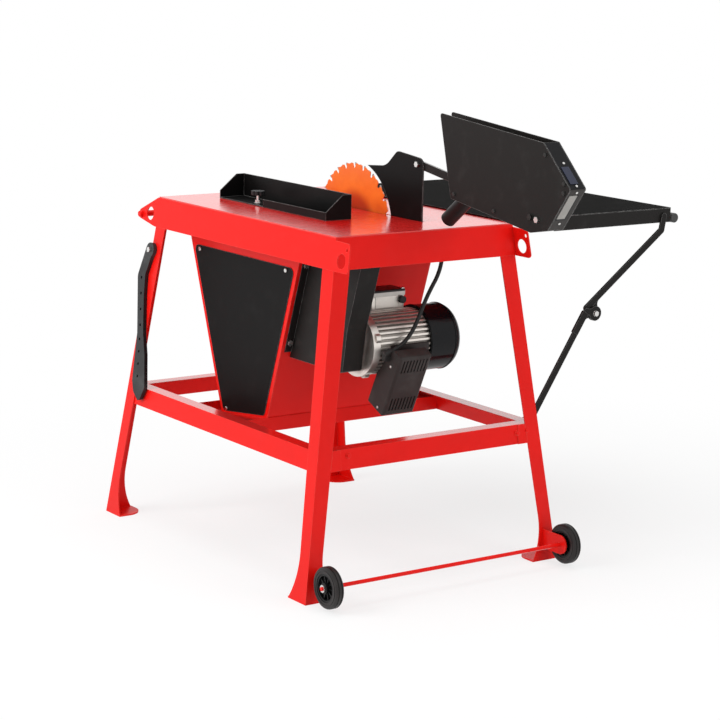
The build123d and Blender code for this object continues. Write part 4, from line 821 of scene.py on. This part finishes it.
def corner_web(start, end, steps=12):
    """Outline of the web between the knuckle and a bar's edge; the bar runs away from the knuckle."""
    along = (end - start).normalized()
    across = Vector((-along.y, along.x))
    if across.dot(knuckle - start) < 0:
        across = -across
    edge = start + bar_half * across
    lift = web_hollow - (knuckle - edge).dot(across)
    run = math.sqrt((knuckle_radius + web_hollow) ** 2 - lift ** 2)
    centre = knuckle + lift * across + run * along
    first = math.atan2(-across.y, -across.x)
    last = math.atan2(*reversed(knuckle - centre))
    sweep = (last - first + math.pi) % math.tau - math.pi
    hollow = []
    for step in range(steps + 1):
        turn = first + sweep * step / steps
        hollow.append(centre + web_hollow * Vector((math.cos(turn), math.sin(turn))))
    foot = edge + (knuckle - edge).dot(along) * along
    within = knuckle + 0.7 * (hollow[-1] - knuckle)
    return hollow + [within, foot - web_sink * across, hollow[0] - web_sink * across]


bars = {
    "upper": (Vector((0.3055, 0.6117)), Vector((0.5510, 0.7970))),
    "lower": (Vector((0.3010, 0.6050)), Vector((0.1265, 0.3350))),
}
bar_faces = {
    "upper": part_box("brace_upper_arm")[1].x - bar_thickness,
    "lower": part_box("brace_lower_arm")[0].x,
}
for name, (start, end) in bars.items():
    web = bmesh.new()
    add_prism(web, corner_web(start, end), bar_faces[name] + web_inset, bar_thickness - 2 * web_inset)
    fitted_piece("knuckle_web_" + name, web, "brace_" + name, knuckle_finish, easing=0.0003)
print("knuckle webs:", len(bars))

# %% [markdown]
# ## The leaf on the lower bar
# An angled leaf is welded over the top of the lower bar, below the knuckle. It is bent from one sheet on
# the real brace. Here it is two flat flanges, one on the bar's face and one along its side: the bend is
# too sharp to show.

# %% Brace leaf
leaf_start, leaf_end = bars["lower"]
leaf_along = (leaf_end - leaf_start).normalized()
leaf_side = Vector((leaf_along.y, -leaf_along.x))
leaf_low, leaf_high = 0.004, 0.066
leaf_sheet = 0.0018
leaf_gap = 0.0002
leaf_inner = 0.001 - bar_half
leaf_outer = 0.0035 + bar_half
bar_back = bar_faces["lower"]
face_flange = (leaf_inner, leaf_outer, bar_back + bar_thickness + leaf_gap, leaf_sheet)
side_flange = (bar_half + leaf_gap, leaf_outer, bar_back, bar_thickness + leaf_sheet / 2)
leaf = bmesh.new()
for inner, outer, base, rise in (face_flange, side_flange):
    corners = ((leaf_low, inner), (leaf_high, inner), (leaf_high, outer), (leaf_low, outer))
    outline = [leaf_start + reach * leaf_along + offset * leaf_side for reach, offset in corners]
    add_prism(leaf, outline, base, rise)
fitted_piece("brace_leaf", leaf, "brace_lower", knuckle_finish, easing=0.0004)
print("brace leaf", round(leaf_high - leaf_low, 4), "long")

# %% [markdown]
# ## Beads on the tyres and the fan cover
# A moulded tyre has a raised ring on each side, and the fan cover has a collar at its open end and a bead
# where its end rounds off. They are thin rings of their own. A torus would be round all over; here a small
# profile is turned about the axle, so that each ring has a flat crown.


# %% Turned rings
def add_ring(shape, middle, profile, steps=96):
    """Turns a closed profile of (distance along y, radius) points about the y axis through a point."""
    rings = []
    for step in range(steps):
        turn = step * math.tau / steps
        spoke = Vector((math.cos(turn), 0, math.sin(turn)))
        points = [middle + radius * spoke + Vector((0, along, 0)) for along, radius in profile]
        rings.append([shape.verts.new(point) for point in points])
    for step in range(steps):
        here = rings[step]
        there = rings[(step + 1) % steps]
        for index in range(len(profile)):
            after = (index + 1) % len(profile)
            shape.faces.new((here[index], here[after], there[after], there[index]))


def bead(along, radius, width, rise, outward=None):
    """A profile with a flat crown: proud in radius, or along y where outward gives the side."""
    half = width / 2
    crown = half - width / 5
    section = [(-half, 0), (-crown, rise), (crown, rise), (half, 0)]
    if outward is None:
        return [(along + across, radius + up) for across, up in section]
    return [(along + outward * up, radius + across) for across, up in section]


print("turned rings ready")

# %% Beads
bead_gap = 0.0002
tyre_bead_radius = 0.0405
tyre_bead_width = 0.0030
tyre_bead_rise = 0.0010
for name in ("near", "far"):
    low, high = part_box("tyre_" + name)
    half_width = (high.y - low.y) / 2
    tyre_beads = bmesh.new()
    for side in (-1, 1):
        wall = side * (half_width + bead_gap)
        profile = bead(wall, tyre_bead_radius, tyre_bead_width, tyre_bead_rise, outward=side)
        add_ring(tyre_beads, (low + high) / 2, profile)
    fitted_piece("tyre_beads_" + name, tyre_beads, "wheel_" + name, tyre_rubber, easing=0.0002)

cover_low, cover_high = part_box("fan_cover")
cover_middle = (cover_low + cover_high) / 2
cover_radius = (cover_high.x - cover_low.x) / 2
cover_bead_rise = 0.0014
collar = (cover_low.y + 0.004, 0.0060)
shoulder = (cover_high.y - 0.024, 0.0035)
cover_beads = bmesh.new()
for place, width in (collar, shoulder):
    profile = bead(place - cover_middle.y, cover_radius + bead_gap, width, cover_bead_rise)
    add_ring(cover_beads, cover_middle, profile)
fitted_piece("cover_beads", cover_beads, "stand", polished_cover, easing=0.0003)
print("beads on two tyres and the fan cover")

# %% [markdown]
# ## The floor
# The floor is a pale sheet that fades to white away from the saw and keeps its shadow. A bent backdrop
# would do in a real studio. Here the material mixes in a white glow, by Light Path, for the camera and for
# mirrors only, so it throws no more light on the saw.


# %% Floor
def floor_paper():
    """Pale paper that the camera and mirrors see as nearly white, and as white from two metres on."""
    material, tree, shader = start_finish("floor_paper")
    join(tree, shader, Base_Color=(0.90, 0.90, 0.90, 1), Roughness=0.8)
    reach = vector_maths(tree, "LENGTH", place_on(tree), out="Value")
    white = 0.72 + 0.28 * reach.between(0.5, 2.0)
    glow = tree.make("ShaderNodeEmission", None, {"Color": (1, 1, 1, 1), "Strength": 1.0})
    seen = tree.make("ShaderNodeLightPath", out="Is Camera Ray")
    mirrored = tree.make("ShaderNodeLightPath", out="Is Glossy Ray")
    share = tree.maths("ADD", seen * white, mirrored * white, clamp=True)
    paper = Wire(tree.tree, shader.outputs[0])
    mixed = tree.make("ShaderNodeMixShader", None, {0: share, 1: paper, 2: glow})
    tree.tree.links.new(mixed.socket, tree.tree.nodes["Material Output"].inputs[0])
    return material


floor_reach = 30.0
floor_corners = [(floor_reach * x, floor_reach * y, 0) for x, y in ((-1, -1), (1, -1), (1, 1), (-1, 1))]
floor_mesh = bpy.data.meshes.new("floor")
floor_mesh.from_pydata(floor_corners, [], [(0, 1, 2, 3)])
floor_mesh.materials.append(floor_paper())
floor = add_object("floor", floor_mesh)
print("floor", 2 * floor_reach, "m across")

# %% [markdown]
# ## Light
# Large soft lamps stand to the left of the camera, on the right and above, as in a product studio. They
# are hidden from mirrors, so that the table shows the white room and not a lamp. The world lights the
# object gently, and shows white behind it. An image of a studio could light it too, but this script reads
# none.


# %% World and lamps
def studio_world():
    """Gentle light on the object, and white for the camera, mirrors and what is seen through."""
    world = bpy.data.worlds.new("studio")
    world.use_nodes = True
    tree = Wire(world.node_tree)
    kinds = ("Is Camera Ray", "Is Glossy Ray", "Is Transmission Ray")
    seen, mirrored, through = [tree.make("ShaderNodeLightPath", out=kind) for kind in kinds]
    shown = tree.maths("ADD", seen + mirrored, through, clamp=True)
    lighting = tree.make("ShaderNodeBackground", None, {"Color": (1, 1, 1, 1), "Strength": 0.42})
    backdrop = tree.make("ShaderNodeBackground", None, {"Color": (1, 1, 1, 1), "Strength": 1.0})
    mixed = tree.make("ShaderNodeMixShader", None, {0: shown, 1: lighting, 2: backdrop})
    world.node_tree.links.new(mixed.socket, world.node_tree.nodes["World Output"].inputs[0])
    return world


def soft_lamp(name, place, target, width, height, power):
    """A rectangular lamp that looks at a target and stays out of mirrors."""
    lamp = bpy.data.lights.new(name, "AREA")
    lamp.shape = "RECTANGLE"
    lamp.size = width
    lamp.size_y = height
    lamp.energy = power
    lamp_stand = add_object(name, lamp)
    lamp_stand.location = place
    aim = Vector(target) - Vector(place)
    lamp_stand.rotation_euler = aim.to_track_quat("-Z", "Y").to_euler()
    lamp_stand.visible_glossy = False


bpy.context.scene.world = studio_world()
saw_middle = (0.0, -0.1, 0.5)
soft_lamp("key_lamp", (-0.6, -3.6, 2.2), saw_middle, width=2.4, height=2.0, power=95)
soft_lamp("fill_lamp", (3.5, 0.9, 1.7), saw_middle, width=2.0, height=2.0, power=40)
soft_lamp("top_lamp", (0.0, 0.0, 3.8), saw_middle, width=3.0, height=3.0, power=70)
bpy.context.scene.view_settings.view_transform = "Standard"
print("stage lit by", len(bpy.data.lights), "lamps")
